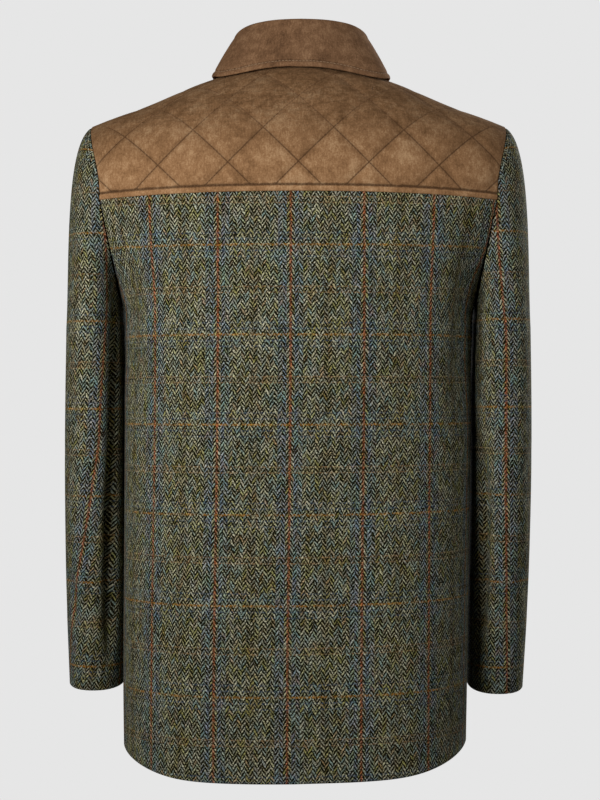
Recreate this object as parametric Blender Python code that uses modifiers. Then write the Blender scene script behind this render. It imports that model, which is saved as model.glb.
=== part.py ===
"""Field coat: tweed body and sleeves, a quilted suede yoke and a suede collar.

The coat stands filled out and hollow, its back towards -Y and its front towards
+Y. The origin is the middle of the neck opening, just above the points where the
shoulders meet the neck, which is where a wearer carries it. Metres, +Z up.
"""

import math
from collections import namedtuple

import bmesh
import bpy
import numpy as np
from mathutils import Vector

# Cloth thickness and the gap left at every seam
TWEED = 0.0020
SUEDE = 0.0020
COLLAR_SUEDE = 0.0022
SEAM_GAP = 0.0003
SEAM_TRIM = 0.7 * SEAM_GAP

# Levels on the body, measured from the origin
YOKE_SEAM_Z = -0.1535
YOKE_SEAM_DROP = 0.0057
YOKE_SEAM_CURVE = 2.0
SEAM_EDGE_Z = YOKE_SEAM_Z - YOKE_SEAM_DROP
UNDERARM_Z = -0.275
HEM_SIDE_Z = -0.777
HEM_BACK_DROP = 0.0225
HEM_FRONT_DROP = 0.012
HEM_CURVE = 5.0
HEM_LEAN = -0.004
HEM_RIGHT_RISE = 0.006

# Shoulders and neck, seen from above
SHOULDER_SLOPE = 0.395
NECK_POINT_Z = -0.0035
SHOULDER_POINT_X = 0.2378
SHOULDER_SEAM_Y = 0.020
RIDGE_ROUND = 0.050
RIDGE_HOLLOW = 0.0028
RIDGE_HOLLOW_FROM = 0.110
RIDGE_HOLLOW_TO = 0.235
NECK_HALF_WIDTH = 0.082
NECK_BACK_Y = -0.070
NECK_MID_Y = 0.004
NECK_FRONT_Y = 0.078
NECK_SIDE_SHARES = (0.968, 0.991, 1.003)
BACK_FULLNESS = 2.5
FRONT_FULLNESS_CENTRE = 1.32
FRONT_FULLNESS_EDGE = 2.2

# Armhole: it spreads from the underarm to the yoke seam and on to the shoulder point
ARMHOLE_SEAM_X = 0.2223
ARMHOLE_SPREAD_CURVE = 1.3
ARMHOLE_TOP_CURVE = 4.0

# Front closing: the wearer's left front lies on the right one
FRONT_OVERLAP = 0.022
UNDERLAP_SET_BACK = TWEED + 2 * SEAM_GAP
UNDERLAP_MARGIN = 0.002
UNDERLAP_EASE = 0.024

# Quilted yoke: square diamonds on point
QUILT_PITCH = 0.0776
QUILT_STEPS = 3
QUILT_FIRST_CROSSING = 0.033
QUILT_HEIGHT = 0.0024
QUILT_ROUND = 0.5
YOKE_PROUD = 0.0010
YOKE_BAND = 0.0076
YOKE_FADE = 0.012
YOKE_SIDE_SPARE = 0.30
YOKE_TOP_SPARE = 0.35

# Collar: a stand round the neck and a leaf folded over it
COLLAR_END = math.radians(171.0)
COLLAR_COLUMNS = 40
STAND_FOLD_HALF_WIDTH = 0.0755
STAND_FOLD_BACK_Y = -0.0625
STAND_FOLD_FRONT_Y = 0.0745
STAND_ROWS = 4
STAND_FOOT_LIFT = YOKE_PROUD + 3 * SEAM_GAP
FOLD_CLEARANCE = 3 * SEAM_GAP
COLLAR_LEAN = 0.003
LEAF_BULGE = 0.0006
LEAF_LIFT_BACK = 0.0064
LEAF_LIFT_FRONT = 0.0040
LEAF_ROWS = 6

# Buttons on the overlapping front
BUTTON_LEVELS = (-0.125, -0.235, -0.345, -0.455, -0.565)
BUTTON_RADIUS = 0.0110
BUTTON_THICK = 0.0040
BUTTON_RIM = 0.0022
BUTTON_DISH = 0.0009
BUTTON_STEPS = 18
BUTTON_MERGE = 0.00005

# Grid of each panel
BODY_COLUMNS = 26
ARMHOLE_ROWS = 5
BODY_ROWS = 12
FRONT_COLUMNS = 15
CHEST_ROWS = 8
SLEEVE_TOP_COLUMNS = 17
SLEEVE_UNDER_COLUMNS = 12
SLEEVE_CAP_STEPS = (0.0, 0.09, 0.20, 0.34, 0.52, 0.74, 1.0)
SLEEVE_ROWS = 12
FINE = 160
SHARP_EDGE = math.radians(50.0)

# Horizontal sections of the body, from the shoulder blades to the hem
Section = namedtuple("Section", "z half_width back_depth front_depth fullness")
BODY_SECTIONS = (
    Section(-0.150, 0.2730, 0.1280, 0.1150, 2.50),
    Section(-0.180, 0.2560, 0.1300, 0.1200, 2.50),
    Section(-0.210, 0.2360, 0.1325, 0.1260, 2.50),
    Section(-0.240, 0.2165, 0.1350, 0.1310, 2.50),
    Section(-0.275, 0.2045, 0.1370, 0.1345, 2.50),
    Section(-0.310, 0.2022, 0.1385, 0.1370, 2.52),
    Section(-0.390, 0.2007, 0.1390, 0.1380, 2.56),
    Section(-0.470, 0.2000, 0.1390, 0.1370, 2.60),
    Section(-0.600, 0.1990, 0.1450, 0.1400, 2.65),
    Section(-0.700, 0.1985, 0.1510, 0.1450, 2.70),
    Section(-0.800, 0.1970, 0.1560, 0.1500, 2.70),
)

# Top of the collar stand round the neck, in degrees from the centre back
FoldLine = namedtuple("FoldLine", "turn z")
COLLAR_FOLD = (
    FoldLine(0.0, 0.0456),
    FoldLine(30.0, 0.0450),
    FoldLine(60.0, 0.0418),
    FoldLine(90.0, 0.0335),
    FoldLine(120.0, 0.0140),
    FoldLine(150.0, -0.0130),
    FoldLine(171.0, -0.0310),
)

# Lower edge of the collar leaf, seen from above
LeafEdge = namedtuple("LeafEdge", "turn x y")
LEAF_EDGE = (
    LeafEdge(0.0, 0.0000, -0.0815),
    LeafEdge(25.0, 0.0430, -0.0765),
    LeafEdge(48.0, 0.0780, -0.0690),
    LeafEdge(63.0, 0.0945, -0.0570),
    LeafEdge(76.0, 0.1005, -0.0340),
    LeafEdge(92.0, 0.1010, 0.0000),
    LeafEdge(120.0, 0.0985, 0.0450),
    LeafEdge(146.0, 0.0850, 0.0800),
    LeafEdge(171.0, 0.0520, 0.1020),
)

# Bend of the leaf over the top of the stand, in wall thicknesses
Bend = namedtuple("Bend", "out up clearances")
LEAF_BEND = (
    Bend(-1.00, 1.00, 1.00),
    Bend(0.00, 1.00, 1.33),
    Bend(1.10, 0.75, 0.00),
    Bend(1.75, -0.60, 0.00),
)

# Rings of a sleeve below its cap, for the sleeve at +X
Ring = namedtuple("Ring", "z centre_x half_width centre_y half_depth")
SLEEVE_RINGS = (
    Ring(-0.300, 0.2360, 0.0323, -0.0020, 0.0770),
    Ring(-0.380, 0.2354, 0.0339, -0.0040, 0.0730),
    Ring(-0.450, 0.2354, 0.0340, -0.0045, 0.0690),
    Ring(-0.530, 0.2346, 0.0340, 0.0000, 0.0640),
    Ring(-0.620, 0.2333, 0.0338, 0.0130, 0.0585),
    Ring(-0.713, 0.2313, 0.0323, 0.0300, 0.0540),
)
SLEEVE_FULLNESS = 2.25
SLEEVE_INNER_FULLNESS = 2.0
SLEEVE_FORE_SEAM = math.radians(-112.0)
CAP_START = 0.45
CAP_END = 0.85
CAP_SPREAD = 0.012
CAP_FALL_TOP = 0.40
CAP_FALL_UNDER = 1.60
CUFF_TILT = 0.09
LEFT_CUFF_SWING = -0.0055
RIGHT_CUFF_DROP = 0.004
SLEEVE_SET_OUT = 3 * SEAM_GAP

# Hind seam of a sleeve: its turn from the outermost line, in degrees, on the way down
SeamTurn = namedtuple("SeamTurn", "z turn")
SLEEVE_HIND_SEAM = (
    SeamTurn(-0.300, 94.0),
    SeamTurn(-0.470, 91.4),
    SeamTurn(-0.565, 85.3),
    SeamTurn(-0.670, 76.0),
    SeamTurn(-0.713, 72.0),
)

# Large soft folds: centre line from top to bottom, half width and depth
FOLD_FADE = 0.35
Fold = namedtuple("Fold", "x_top z_top x_bottom z_bottom width depth")
BACK_FOLDS = (
    Fold(-0.190, -0.205, -0.176, -0.400, 0.016, -0.0032),
    Fold(0.188, -0.200, 0.172, -0.430, 0.018, -0.0036),
    Fold(-0.118, -0.480, -0.128, -0.830, 0.034, 0.0030),
    Fold(0.104, -0.450, 0.120, -0.830, 0.036, 0.0034),
    Fold(0.020, -0.560, 0.012, -0.830, 0.040, -0.0024),
)
FRONT_FOLDS = (
    Fold(-0.176, -0.215, -0.150, -0.420, 0.017, -0.0030),
    Fold(0.178, -0.210, 0.156, -0.400, 0.017, -0.0030),
    Fold(-0.110, -0.500, -0.118, -0.830, 0.034, 0.0028),
    Fold(0.108, -0.480, 0.122, -0.830, 0.034, 0.0030),
)


# Small helpers


def table_value(table, column, place):
    """Smooth value of a table's column at a place along the table's first column."""
    rows = sorted(table)
    places = np.array([row[0] for row in rows])
    values = np.array([getattr(row, column) for row in rows])
    slopes = np.gradient(values, places)
    place = min(max(place, places[0]), places[-1])
    i = int(np.clip(np.searchsorted(places, place) - 1, 0, len(places) - 2))
    span = places[i + 1] - places[i]
    t = (place - places[i]) / span
    return float(
        values[i] * (1 + 2 * t) * (1 - t) ** 2
        + slopes[i] * span * t * (1 - t) ** 2
        + values[i + 1] * t * t * (3 - 2 * t)
        + slopes[i + 1] * span * t * t * (t - 1)
    )


def smooth(t):
    """Ease from 0 to 1."""
    t = min(max(t, 0.0), 1.0)
    return t * t * (3 - 2 * t)


def rounded(value, fullness):
    """Signed power that turns a circle's coordinate into a fuller oval's."""
    return math.copysign(abs(value) ** (2.0 / fullness), value)


def lengths(points):
    """Distance along a polyline to each of its points."""
    steps = np.linalg.norm(np.diff(points, axis=0), axis=1)
    return np.concatenate(([0.0], np.cumsum(steps)))


def at_lengths(points, wanted):
    """Points at the wanted distances along a polyline."""
    points = np.asarray(points)
    run = lengths(points)
    return np.stack([np.interp(wanted, run, points[:, k]) for k in range(3)], axis=1)


def evenly(points, spans):
    """The polyline cut into equal spans."""
    return at_lengths(points, np.linspace(0.0, lengths(np.asarray(points))[-1], spans + 1))


def trimmed(columns, sides):
    """Draw back the named edges of a grid of columns, so that seams stay open."""
    grid = np.array(columns)
    pulls = {
        "first": (grid[0], grid[1]),
        "last": (grid[-1], grid[-2]),
        "top": (grid[:, -1], grid[:, -2]),
    }
    for side in sides:
        edge, inside = pulls[side]
        step = inside - edge
        edge += step / np.linalg.norm(step, axis=1, keepdims=True) * SEAM_TRIM
    return grid


def fold_height(folds, x, z):
    """Sum of the folds at a place on a panel."""
    total = 0.0
    for fold in folds:
        along = (z - fold.z_top) / (fold.z_bottom - fold.z_top)
        if not 0.0 < along < 1.0:
            continue
        centre = fold.x_top + (fold.x_bottom - fold.x_top) * along
        fade = smooth(along / FOLD_FADE)
        if fold.z_bottom > HEM_SIDE_Z:
            fade *= smooth((1.0 - along) / FOLD_FADE)
        total += fold.depth * fade * math.exp(-(((x - centre) / fold.width) ** 2))
    return total


# Body surface


def section_oval(z, facing):
    """Half width, depth and fullness of the body's oval on a level."""
    depth = table_value(BODY_SECTIONS, "back_depth" if facing < 0 else "front_depth", z)
    return table_value(BODY_SECTIONS, "half_width", z), depth, table_value(BODY_SECTIONS, "fullness", z)


def section_y(x, z, facing):
    """Depth of the body's surface at x on a level."""
    half_width, depth, fullness = section_oval(z, facing)
    inside = max(0.0, 1.0 - (abs(x) / half_width) ** fullness)
    return facing * depth * inside ** (1.0 / fullness)


def side_edge(z, facing):
    """Edge of a back (facing -1) or front (+1) panel: side seam, then armhole."""
    if z <= UNDERARM_Z:
        return table_value(BODY_SECTIONS, "half_width", z), 0.0
    under_x = table_value(BODY_SECTIONS, "half_width", UNDERARM_Z)
    rise = (z - UNDERARM_Z) / (SEAM_EDGE_Z - UNDERARM_Z)
    x = under_x + (ARMHOLE_SEAM_X - under_x) * rise**ARMHOLE_SPREAD_CURVE
    return x, section_y(x, z, facing)


def body_row(z, facing, x_start, lift, curve):
    """Fine polyline along one level from x_start to the panel's edge at +X."""
    half_width, depth, fullness = section_oval(z, facing)
    x_edge = side_edge(z, facing)[0]
    power = fullness / 2.0
    start = math.asin(math.copysign((abs(x_start) / half_width) ** power, x_start))
    end = math.asin(min(1.0, (x_edge / half_width) ** power))
    points = []
    for turn in np.linspace(start, end, FINE):
        x = half_width * rounded(math.sin(turn), fullness)
        y = facing * depth * rounded(math.cos(turn), fullness)
        points.append((x, y, z + lift * (1.0 - min(1.0, abs(x / x_edge)) ** curve)))
    return np.array(points)


def armhole_levels(rows):
    """Levels up the armhole from the underarm to the yoke seam, closer at the underarm."""
    return [UNDERARM_Z + (SEAM_EDGE_Z - UNDERARM_Z) * (step / rows) ** 2 for step in range(rows + 1)]


def body_levels():
    """Levels of the body's rows from the hem to the yoke seam, each with its share of hem and seam curve."""
    levels = []
    for step in range(BODY_ROWS):
        share = step / BODY_ROWS
        levels.append((HEM_SIDE_Z + (UNDERARM_Z - HEM_SIDE_Z) * share, 1.0 - share, 0.0))
    for z in armhole_levels(ARMHOLE_ROWS):
        levels.append((z, 0.0, (z - UNDERARM_Z) / (SEAM_EDGE_Z - UNDERARM_Z)))
    return levels


def body_lift(hem, seam, facing):
    """Rise of a row's middle above its edges, with the power that shapes it."""
    if hem > 0.0:
        drop = HEM_BACK_DROP if facing < 0 else HEM_FRONT_DROP
        return -drop * hem, HEM_CURVE
    return YOKE_SEAM_DROP * seam, YOKE_SEAM_CURVE


def hem_share(z):
    """How far down the skirt of the coat a level lies, from the underarm to the hem."""
    return smooth((UNDERARM_Z - z) / (UNDERARM_Z - HEM_SIDE_Z))


def hung(columns):
    """The body's points as the coat hangs: swung over and drawn up on the right, most at the hem."""
    grid = np.array(columns)
    for column in grid:
        x, z = column[:, 0], column[:, 2]
        share = np.array([hem_share(level) for level in z])
        z += HEM_RIGHT_RISE * share * np.clip(x / ARMHOLE_SEAM_X, 0.0, None)
        x += HEM_LEAN * share
    return grid


# Shoulder surface above the yoke seam


def seam_level(x):
    """Level of the yoke seam at x."""
    return YOKE_SEAM_Z - YOKE_SEAM_DROP * abs(x / ARMHOLE_SEAM_X) ** YOKE_SEAM_CURVE


def ridge_level(x):
    """Level of the shoulder line at x."""
    along = min(max((abs(x) - RIDGE_HOLLOW_FROM) / (RIDGE_HOLLOW_TO - RIDGE_HOLLOW_FROM), 0.0), 1.0)
    hollow = RIDGE_HOLLOW * math.sin(math.pi * along) ** 2
    return NECK_POINT_Z + SHOULDER_SLOPE * (NECK_HALF_WIDTH - math.hypot(x, RIDGE_ROUND)) - hollow


def shoulder_fullness(x, facing):
    """How full the curve from the seam level to the shoulder line is at x."""
    if facing < 0:
        return BACK_FULLNESS
    share = smooth(abs(x) / SHOULDER_POINT_X)
    return FRONT_FULLNESS_CENTRE + (FRONT_FULLNESS_EDGE - FRONT_FULLNESS_CENTRE) * share


def shoulder_z(x, y):
    """Level of the shoulder surface over a place seen from above."""
    facing = -1 if y < 0 else 1
    base = seam_level(x)
    reach = abs(section_y(x, SEAM_EDGE_Z, facing))
    fullness = shoulder_fullness(x, facing)
    inside = max(0.0, 1.0 - min(1.0, abs(y) / reach) ** fullness)
    return base + (ridge_level(x) - base) * inside ** (1.0 / fullness)


def shoulder_y(x, z):
    """Depth of the front at x on a level above the seam level."""
    base = seam_level(x)
    fullness = shoulder_fullness(x, 1)
    share = (z - base) / (ridge_level(x) - base)
    return section_y(x, SEAM_EDGE_Z, 1) * (1.0 - share**fullness) ** (1.0 / fullness)


def shoulder_normal(x, y):
    """Outward direction of the shoulder surface over a place seen from above."""
    step = 0.001
    dx = (shoulder_z(x + step, y) - shoulder_z(x - step, y)) / (2 * step)
    dy = (shoulder_z(x, y + step) - shoulder_z(x, y - step)) / (2 * step)
    return np.array(Vector((-dx, -dy, 1.0)).normalized())


def shoulder_edge_x(y, facing):
    """Armhole edge above the seam level."""
    reach = abs(side_edge(SEAM_EDGE_Z, facing)[1])
    narrow = SHOULDER_POINT_X - ARMHOLE_SEAM_X
    return SHOULDER_POINT_X - narrow * min(1.0, abs(y) / reach) ** ARMHOLE_TOP_CURVE


def shoulder_path(x_at, y_start, y_end):
    """Fine polyline over the shoulder, at x_at(y), spaced for the steep ends."""
    points = []
    for share in np.linspace(0.0, 1.0, FINE):
        eased = 1.0 - math.cos(share * math.pi / 2) if abs(y_start) > abs(y_end) else share
        y = y_start + (y_end - y_start) * eased
        points.append((x_at(y), y, shoulder_z(x_at(y), y)))
    return np.array(points)


def neck_y(x, facing):
    """Neck seam's depth at x, at the back (facing -1) or the front (+1)."""
    radius = NECK_MID_Y - NECK_BACK_Y if facing < 0 else NECK_FRONT_Y - NECK_MID_Y
    return NECK_MID_Y + facing * radius * math.sqrt(max(0.0, 1.0 - (x / NECK_HALF_WIDTH) ** 2))


def from_neck(x, y):
    """Rough distance from the neck seam, seen from above."""
    radius = NECK_MID_Y - NECK_BACK_Y if y < NECK_MID_Y else NECK_FRONT_Y - NECK_MID_Y
    return (math.hypot(x / NECK_HALF_WIDTH, (y - NECK_MID_Y) / radius) - 1.0) * NECK_HALF_WIDTH


# Meshes


def new_material(name, colour, roughness):
    """Plain Principled material of a sub-part."""
    material = bpy.data.materials.new(name)
    material.use_nodes = True
    shader = material.node_tree.nodes["Principled BSDF"]
    shader.inputs["Base Color"].default_value = (*colour, 1.0)
    shader.inputs["Roughness"].default_value = roughness
    shader.inputs["Metallic"].default_value = 0.0
    material.diffuse_color = (*colour, 1.0)
    return material


def add_object(name, mesh, material):
    """Put a mesh in the coat's collection."""
    mesh.materials.append(material)
    obj = bpy.data.objects.new(name, mesh)
    coat_parts.objects.link(obj)
    return obj


def stitched(first, second, rising):
    """Triangles between two columns of points, which may differ in length."""
    shared = min(len(first), len(second)) - 1
    triangles = []
    for row in range(shared):
        low_left, low_right = first[row], second[row]
        top_left, top_right = first[row + 1], second[row + 1]
        if rising(row):
            triangles += [(low_left, low_right, top_right), (low_left, top_right, top_left)]
        else:
            triangles += [(low_left, low_right, top_left), (low_right, top_right, top_left)]
    for row in range(shared, len(first) - 1):
        triangles.append((first[row], second[-1], first[row + 1]))
    for row in range(shared, len(second) - 1):
        triangles.append((first[-1], second[row], second[row + 1]))
    return triangles


def cloth_wall(name, columns, thickness, material, drape=None, raised=None, rising=None, normals=None):
    """Closed wall of cloth whose outer face runs through columns of points.

    Columns run upwards and follow each other to the right as seen from outside.
    drape(point) moves the whole wall along its normal, raised(column, row) only
    its outer face, and rising(column, row) picks each cell's diagonal. Normals
    are given where two walls share a sharply curved seam.
    """
    mesh_data = bmesh.new()
    outer = [[mesh_data.verts.new(point) for point in column] for column in columns]
    triangles = []
    for place in range(len(outer) - 1):
        choose = (lambda row, place=place: rising(place, row)) if rising else (lambda row: True)
        triangles += stitched(outer[place], outer[place + 1], choose)
    for triangle in triangles:
        mesh_data.faces.new(triangle)
    mesh_data.normal_update()
    twin = {}
    moved = {}
    for place, column in enumerate(outer):
        for row, vert in enumerate(column):
            shift = drape(vert.co) if drape else 0.0
            proud = raised(place, row) if raised else 0.0
            normal = Vector(normals[place][row]) if normals else vert.normal.copy()
            twin[vert] = vert.co + normal * (shift - thickness)
            moved[vert] = vert.co + normal * (shift + proud)
    for vert, place in moved.items():
        twin[vert] = mesh_data.verts.new(twin[vert])
        vert.co = place
    for triangle in triangles:
        mesh_data.faces.new([twin[vert] for vert in reversed(triangle)])
    bottom = [column[0] for column in outer]
    top = [column[-1] for column in outer]
    rim = bottom + outer[-1][1:] + top[::-1][1:] + outer[0][::-1][1:]
    for here, there in zip(rim, rim[1:]):
        mesh_data.faces.new((there, here, twin[here], twin[there]))
    bmesh.ops.triangulate(mesh_data, faces=[face for face in mesh_data.faces if len(face.verts) > 3])
    bmesh.ops.recalc_face_normals(mesh_data, faces=mesh_data.faces)
    mesh = bpy.data.meshes.new(name)
    mesh_data.to_mesh(mesh)
    mesh_data.free()
    mesh.shade_smooth()
    mesh.set_sharp_from_angle(angle=SHARP_EDGE)
    return add_object(name, mesh, material)


def mirrored(columns):
    """The same panel on the other side of the coat."""
    return [np.asarray(column) * (-1.0, 1.0, 1.0) for column in reversed(list(columns))]


# Body panels


def back_drape(co):
    """How far the folds move the back at a place."""
    return fold_height(BACK_FOLDS, co.x, co.z)


def front_drape(co):
    """How far the folds move a front at a place."""
    return fold_height(FRONT_FOLDS, co.x, co.z)


def build_back():
    """One back panel from the yoke seam to the hem."""
    rows = []
    for z, hem, seam in body_levels():
        lift, curve = body_lift(hem, seam, -1)
        half = evenly(body_row(z, -1, 0.0, lift, curve), BODY_COLUMNS // 2)
        rows.append(np.concatenate((half[:0:-1] * (-1.0, 1.0, 1.0), half)))
    columns = trimmed(np.stack(rows, axis=1), ("first", "last", "top"))
    cloth_wall("back_panel", hung(columns), TWEED, tweed, drape=back_drape)


def front_columns():
    """Columns of the front at +X, from its side to its front edge."""
    rows = []
    for z, hem, seam in body_levels():
        lift, curve = body_lift(hem, seam, 1)
        row = body_row(z, 1, -FRONT_OVERLAP, lift, curve)
        rows.append(evenly(row, FRONT_COLUMNS)[::-1])
    columns = []
    for lower in np.stack(rows, axis=1):
        x_seam, y_seam, _ = lower[-1]
        edge_x = side_edge(SEAM_EDGE_Z, 1)[0]
        share = max(0.0, x_seam / edge_x) ** HEM_CURVE
        y_top = neck_y(x_seam, 1) if abs(x_seam) < NECK_HALF_WIDTH else 0.0
        y_top = max(y_top, SHOULDER_SEAM_Y + SEAM_GAP)

        def x_at(y, x_seam=x_seam, share=share, edge_x=edge_x):
            return x_seam + share * (shoulder_edge_x(y, 1) - edge_x)

        upper = evenly(shoulder_path(x_at, y_seam, y_top), CHEST_ROWS)
        columns.append(np.concatenate((lower, upper[1:])))
    return trimmed(columns, ("first", "top"))


def underlap(co):
    """How far the right front sits back where the left one covers it."""
    edge_x = FRONT_OVERLAP + UNDERLAP_MARGIN + HEM_LEAN * hem_share(co.z)
    covered = 1.0 - smooth((co.x - edge_x) / UNDERLAP_EASE)
    return front_drape(co) - UNDERLAP_SET_BACK * covered


def build_fronts():
    """Two fronts; the wearer's left one, at -X, laps over the other."""
    columns = front_columns()
    cloth_wall("front_right", hung(columns), TWEED, tweed, drape=underlap)
    cloth_wall("front_left", hung(mirrored(columns)), TWEED, tweed, drape=front_drape)


# Quilted yoke


def quilt_height(x, up):
    """Padding at a place on the yoke, up being the distance from its lower edge."""
    above = up - QUILT_FIRST_CROSSING
    one = abs(math.sin(math.pi * (x - above) / QUILT_PITCH))
    other = abs(math.sin(math.pi * (x + above) / QUILT_PITCH))
    return QUILT_HEIGHT * (one * other) ** QUILT_ROUND


def build_yoke():
    """Yoke from its seam on the back over the shoulders to the shoulder seams."""
    step = QUILT_PITCH / (2 * QUILT_STEPS)
    seam_edge = side_edge(SEAM_EDGE_Z, -1)
    half_count = int(seam_edge[0] / step - YOKE_SIDE_SPARE)
    places = [(count * step, count) for count in range(-half_count, half_count + 1)]
    places += [(side * share * NECK_HALF_WIDTH, None) for share in NECK_SIDE_SHARES for side in (-1, 1)]
    places.sort()

    paths = []
    for x, count in places:
        reach = section_y(x, SEAM_EDGE_Z, -1)
        if abs(x) < NECK_HALF_WIDTH:
            path = shoulder_path(lambda y, x=x: x, reach, neck_y(x, -1))
        else:
            back = shoulder_path(lambda y, x=x: x, reach, 0.0)
            path = np.concatenate((back, shoulder_path(lambda y, x=x: x, 0.0, SHOULDER_SEAM_Y)[1:]))
        paths.append((path, count))
    back = shoulder_path(lambda y: shoulder_edge_x(y, -1), seam_edge[1], 0.0)
    edge = np.concatenate((back, shoulder_path(lambda y: shoulder_edge_x(y, 1), 0.0, SHOULDER_SEAM_Y)[1:]))
    edge -= (SEAM_GAP / 2, 0.0, 0.0)
    paths.append((edge, None))
    paths.insert(0, (edge * (-1.0, 1.0, 1.0), None))

    first_row = int(QUILT_FIRST_CROSSING / step)
    offset = QUILT_FIRST_CROSSING - first_row * step
    columns, heights = [], []
    for path, _ in paths:
        top = lengths(path)[-1] - SEAM_GAP / 2
        ups = [SEAM_GAP / 2]
        while offset + (len(ups) - 1) * step < top - YOKE_TOP_SPARE * step:
            ups.append(offset + (len(ups) - 1) * step)
        ups.append(top)
        points = at_lengths(path, np.array(ups))
        columns.append(points)
        fades = [smooth((up - YOKE_BAND) / YOKE_FADE) * smooth((top - up) / YOKE_FADE) for up in ups]
        fades = [fade * smooth(from_neck(*p[:2]) / YOKE_FADE) for fade, p in zip(fades, points)]
        heights.append([quilt_height(p[0], up) * fade for p, up, fade in zip(points, ups, fades)])

    def raised(column, row):
        at_edge = column in (0, len(columns) - 1)
        return YOKE_PROUD + (0.0 if at_edge else heights[column][row])

    def rising(column, row):
        count = paths[column][1]
        if count is None:
            return True
        return (count + 1 + row - 1 - first_row) % (2 * QUILT_STEPS) != 0

    cloth_wall("back_yoke", columns, SUEDE - YOKE_PROUD, suede, raised=raised, rising=rising)


# Sleeves


def armhole_half(facing):
    """Fine polyline down one side of the armhole, from the shoulder line to the underarm."""
    reach = side_edge(SEAM_EDGE_Z, facing)[1]
    upper = shoulder_path(lambda y: shoulder_edge_x(y, facing), reach, 0.0)[::-1]
    lower = [(*side_edge(z, facing), z) for z in reversed(armhole_levels(FINE)[:-1])]
    return np.concatenate((upper, np.array(lower)))


def armhole_point(half, turn):
    """Armhole at a turn from the shoulder line (0) to the underarm (half a turn)."""
    share = abs(turn) / math.pi
    return at_lengths(half, np.array([share * lengths(half)[-1]]))[0]


def sleeve_fullness(turn):
    """How full the sleeve's oval is at a turn: fullest at the front towards the body."""
    inner_front = max(0.0, -math.cos(turn)) * max(0.0, -math.sin(turn))
    return SLEEVE_FULLNESS + SLEEVE_INNER_FULLNESS * 2 * inner_front


def ring_point(z, turn):
    """Sleeve at a level; turn 0 is outermost, a quarter turn is rearmost."""
    width = table_value(SLEEVE_RINGS, "half_width", z)
    depth = table_value(SLEEVE_RINGS, "half_depth", z)
    x = table_value(SLEEVE_RINGS, "centre_x", z) + width * rounded(math.cos(turn), sleeve_fullness(turn))
    forward = -depth * rounded(math.sin(turn), sleeve_fullness(turn))
    low = smooth((SLEEVE_RINGS[-2].z - z) / (SLEEVE_RINGS[-2].z - SLEEVE_RINGS[-1].z))
    return np.array((x, table_value(SLEEVE_RINGS, "centre_y", z) + forward, z + CUFF_TILT * forward * low))


def hind_turn(z):
    """Turn of the hind seam on a level."""
    return math.radians(table_value(SLEEVE_HIND_SEAM, "turn", z))


def top_turn(share, z):
    """Turn on a level at a share of the way round the top half, from the hind seam to the fore seam."""
    return hind_turn(z) + (SLEEVE_FORE_SEAM - hind_turn(z)) * share


def under_turn(share, z):
    """Turn on a level at a share of the way round the under half, from the fore seam to the hind seam."""
    return SLEEVE_FORE_SEAM + (hind_turn(z) - 2 * math.pi - SLEEVE_FORE_SEAM) * share


def sleeve_column(turn_at, halves):
    """Points up the sleeve from the cuff to the armhole, at the turn that turn_at gives for each level."""
    turn = math.remainder(turn_at(SLEEVE_RINGS[0].z), 2 * math.pi)
    half = halves[-1] if turn >= 0 else halves[1]
    start = armhole_point(half, turn)
    end = ring_point(SLEEVE_RINGS[0].z, turn)
    span = np.linalg.norm(end - start)
    under = 0.5 - 0.5 * math.cos(turn)
    fall = CAP_FALL_TOP + (CAP_FALL_UNDER - CAP_FALL_TOP) * under
    out = np.array(Vector((1.0, 0.0, -fall)).normalized())
    down = np.array((CAP_SPREAD * max(0.0, math.cos(turn)), 0.0, -CAP_END * span))
    points = []
    for t in SLEEVE_CAP_STEPS:
        points.append(
            start * (1 + 2 * t) * (1 - t) ** 2
            + out * CAP_START * span * t * (1 - t) ** 2
            + end * t * t * (3 - 2 * t)
            + down * t * t * (t - 1)
        )
    levels = np.linspace(SLEEVE_RINGS[0].z, SLEEVE_RINGS[-1].z, SLEEVE_ROWS + 1)[1:]
    points += [ring_point(z, turn_at(z)) for z in levels]
    points[0] = points[0] + out * SLEEVE_SET_OUT
    return np.array(points[::-1])


def sleeve_normals(turn_at, halves):
    """Outward directions up the sleeve, at the turn that turn_at gives for each level."""
    step = math.radians(2.0)
    ahead = sleeve_column(lambda z: turn_at(z) - step, halves)
    behind = sleeve_column(lambda z: turn_at(z) + step, halves)
    right = ahead - behind
    up = np.gradient(sleeve_column(turn_at, halves), axis=0)
    normals = np.cross(right, up)
    return normals / np.linalg.norm(normals, axis=1, keepdims=True)


def build_sleeves():
    """Two-piece sleeves, a top and an under half on each side."""
    halves = {facing: armhole_half(facing) for facing in (-1, 1)}
    parts = (("top", top_turn, SLEEVE_TOP_COLUMNS), ("under", under_turn, SLEEVE_UNDER_COLUMNS))
    for half_name, turn_round, count in parts:
        turns = [lambda z, share=share: turn_round(share, z) for share in np.linspace(0.0, 1.0, count + 1)]
        columns = trimmed([sleeve_column(turn_at, halves) for turn_at in turns], ("first", "last", "top"))
        normals = [sleeve_normals(turn_at, halves) for turn_at in turns]
        hang = (SLEEVE_RINGS[0].z - columns[..., 2]) / (SLEEVE_RINGS[0].z - SLEEVE_RINGS[-1].z)
        low = np.clip(hang, 0.0, None) ** 2
        right = columns.copy()
        right[..., 2] -= RIGHT_CUFF_DROP * low
        cloth_wall(f"sleeve_right_{half_name}", right, TWEED, tweed, normals=normals)
        columns[..., 0] -= LEFT_CUFF_SWING * low
        cloth_wall(f"sleeve_left_{half_name}", mirrored(columns), TWEED, tweed, normals=mirrored(normals))


# Collar


def round_neck(turn, half_width, back_y, front_y):
    """Place on an oval round the neck, seen from above; turn 0 is the centre back."""
    radius = NECK_MID_Y - back_y if math.cos(turn) > 0 else front_y - NECK_MID_Y
    return half_width * math.sin(turn), NECK_MID_Y - radius * math.cos(turn)


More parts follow.
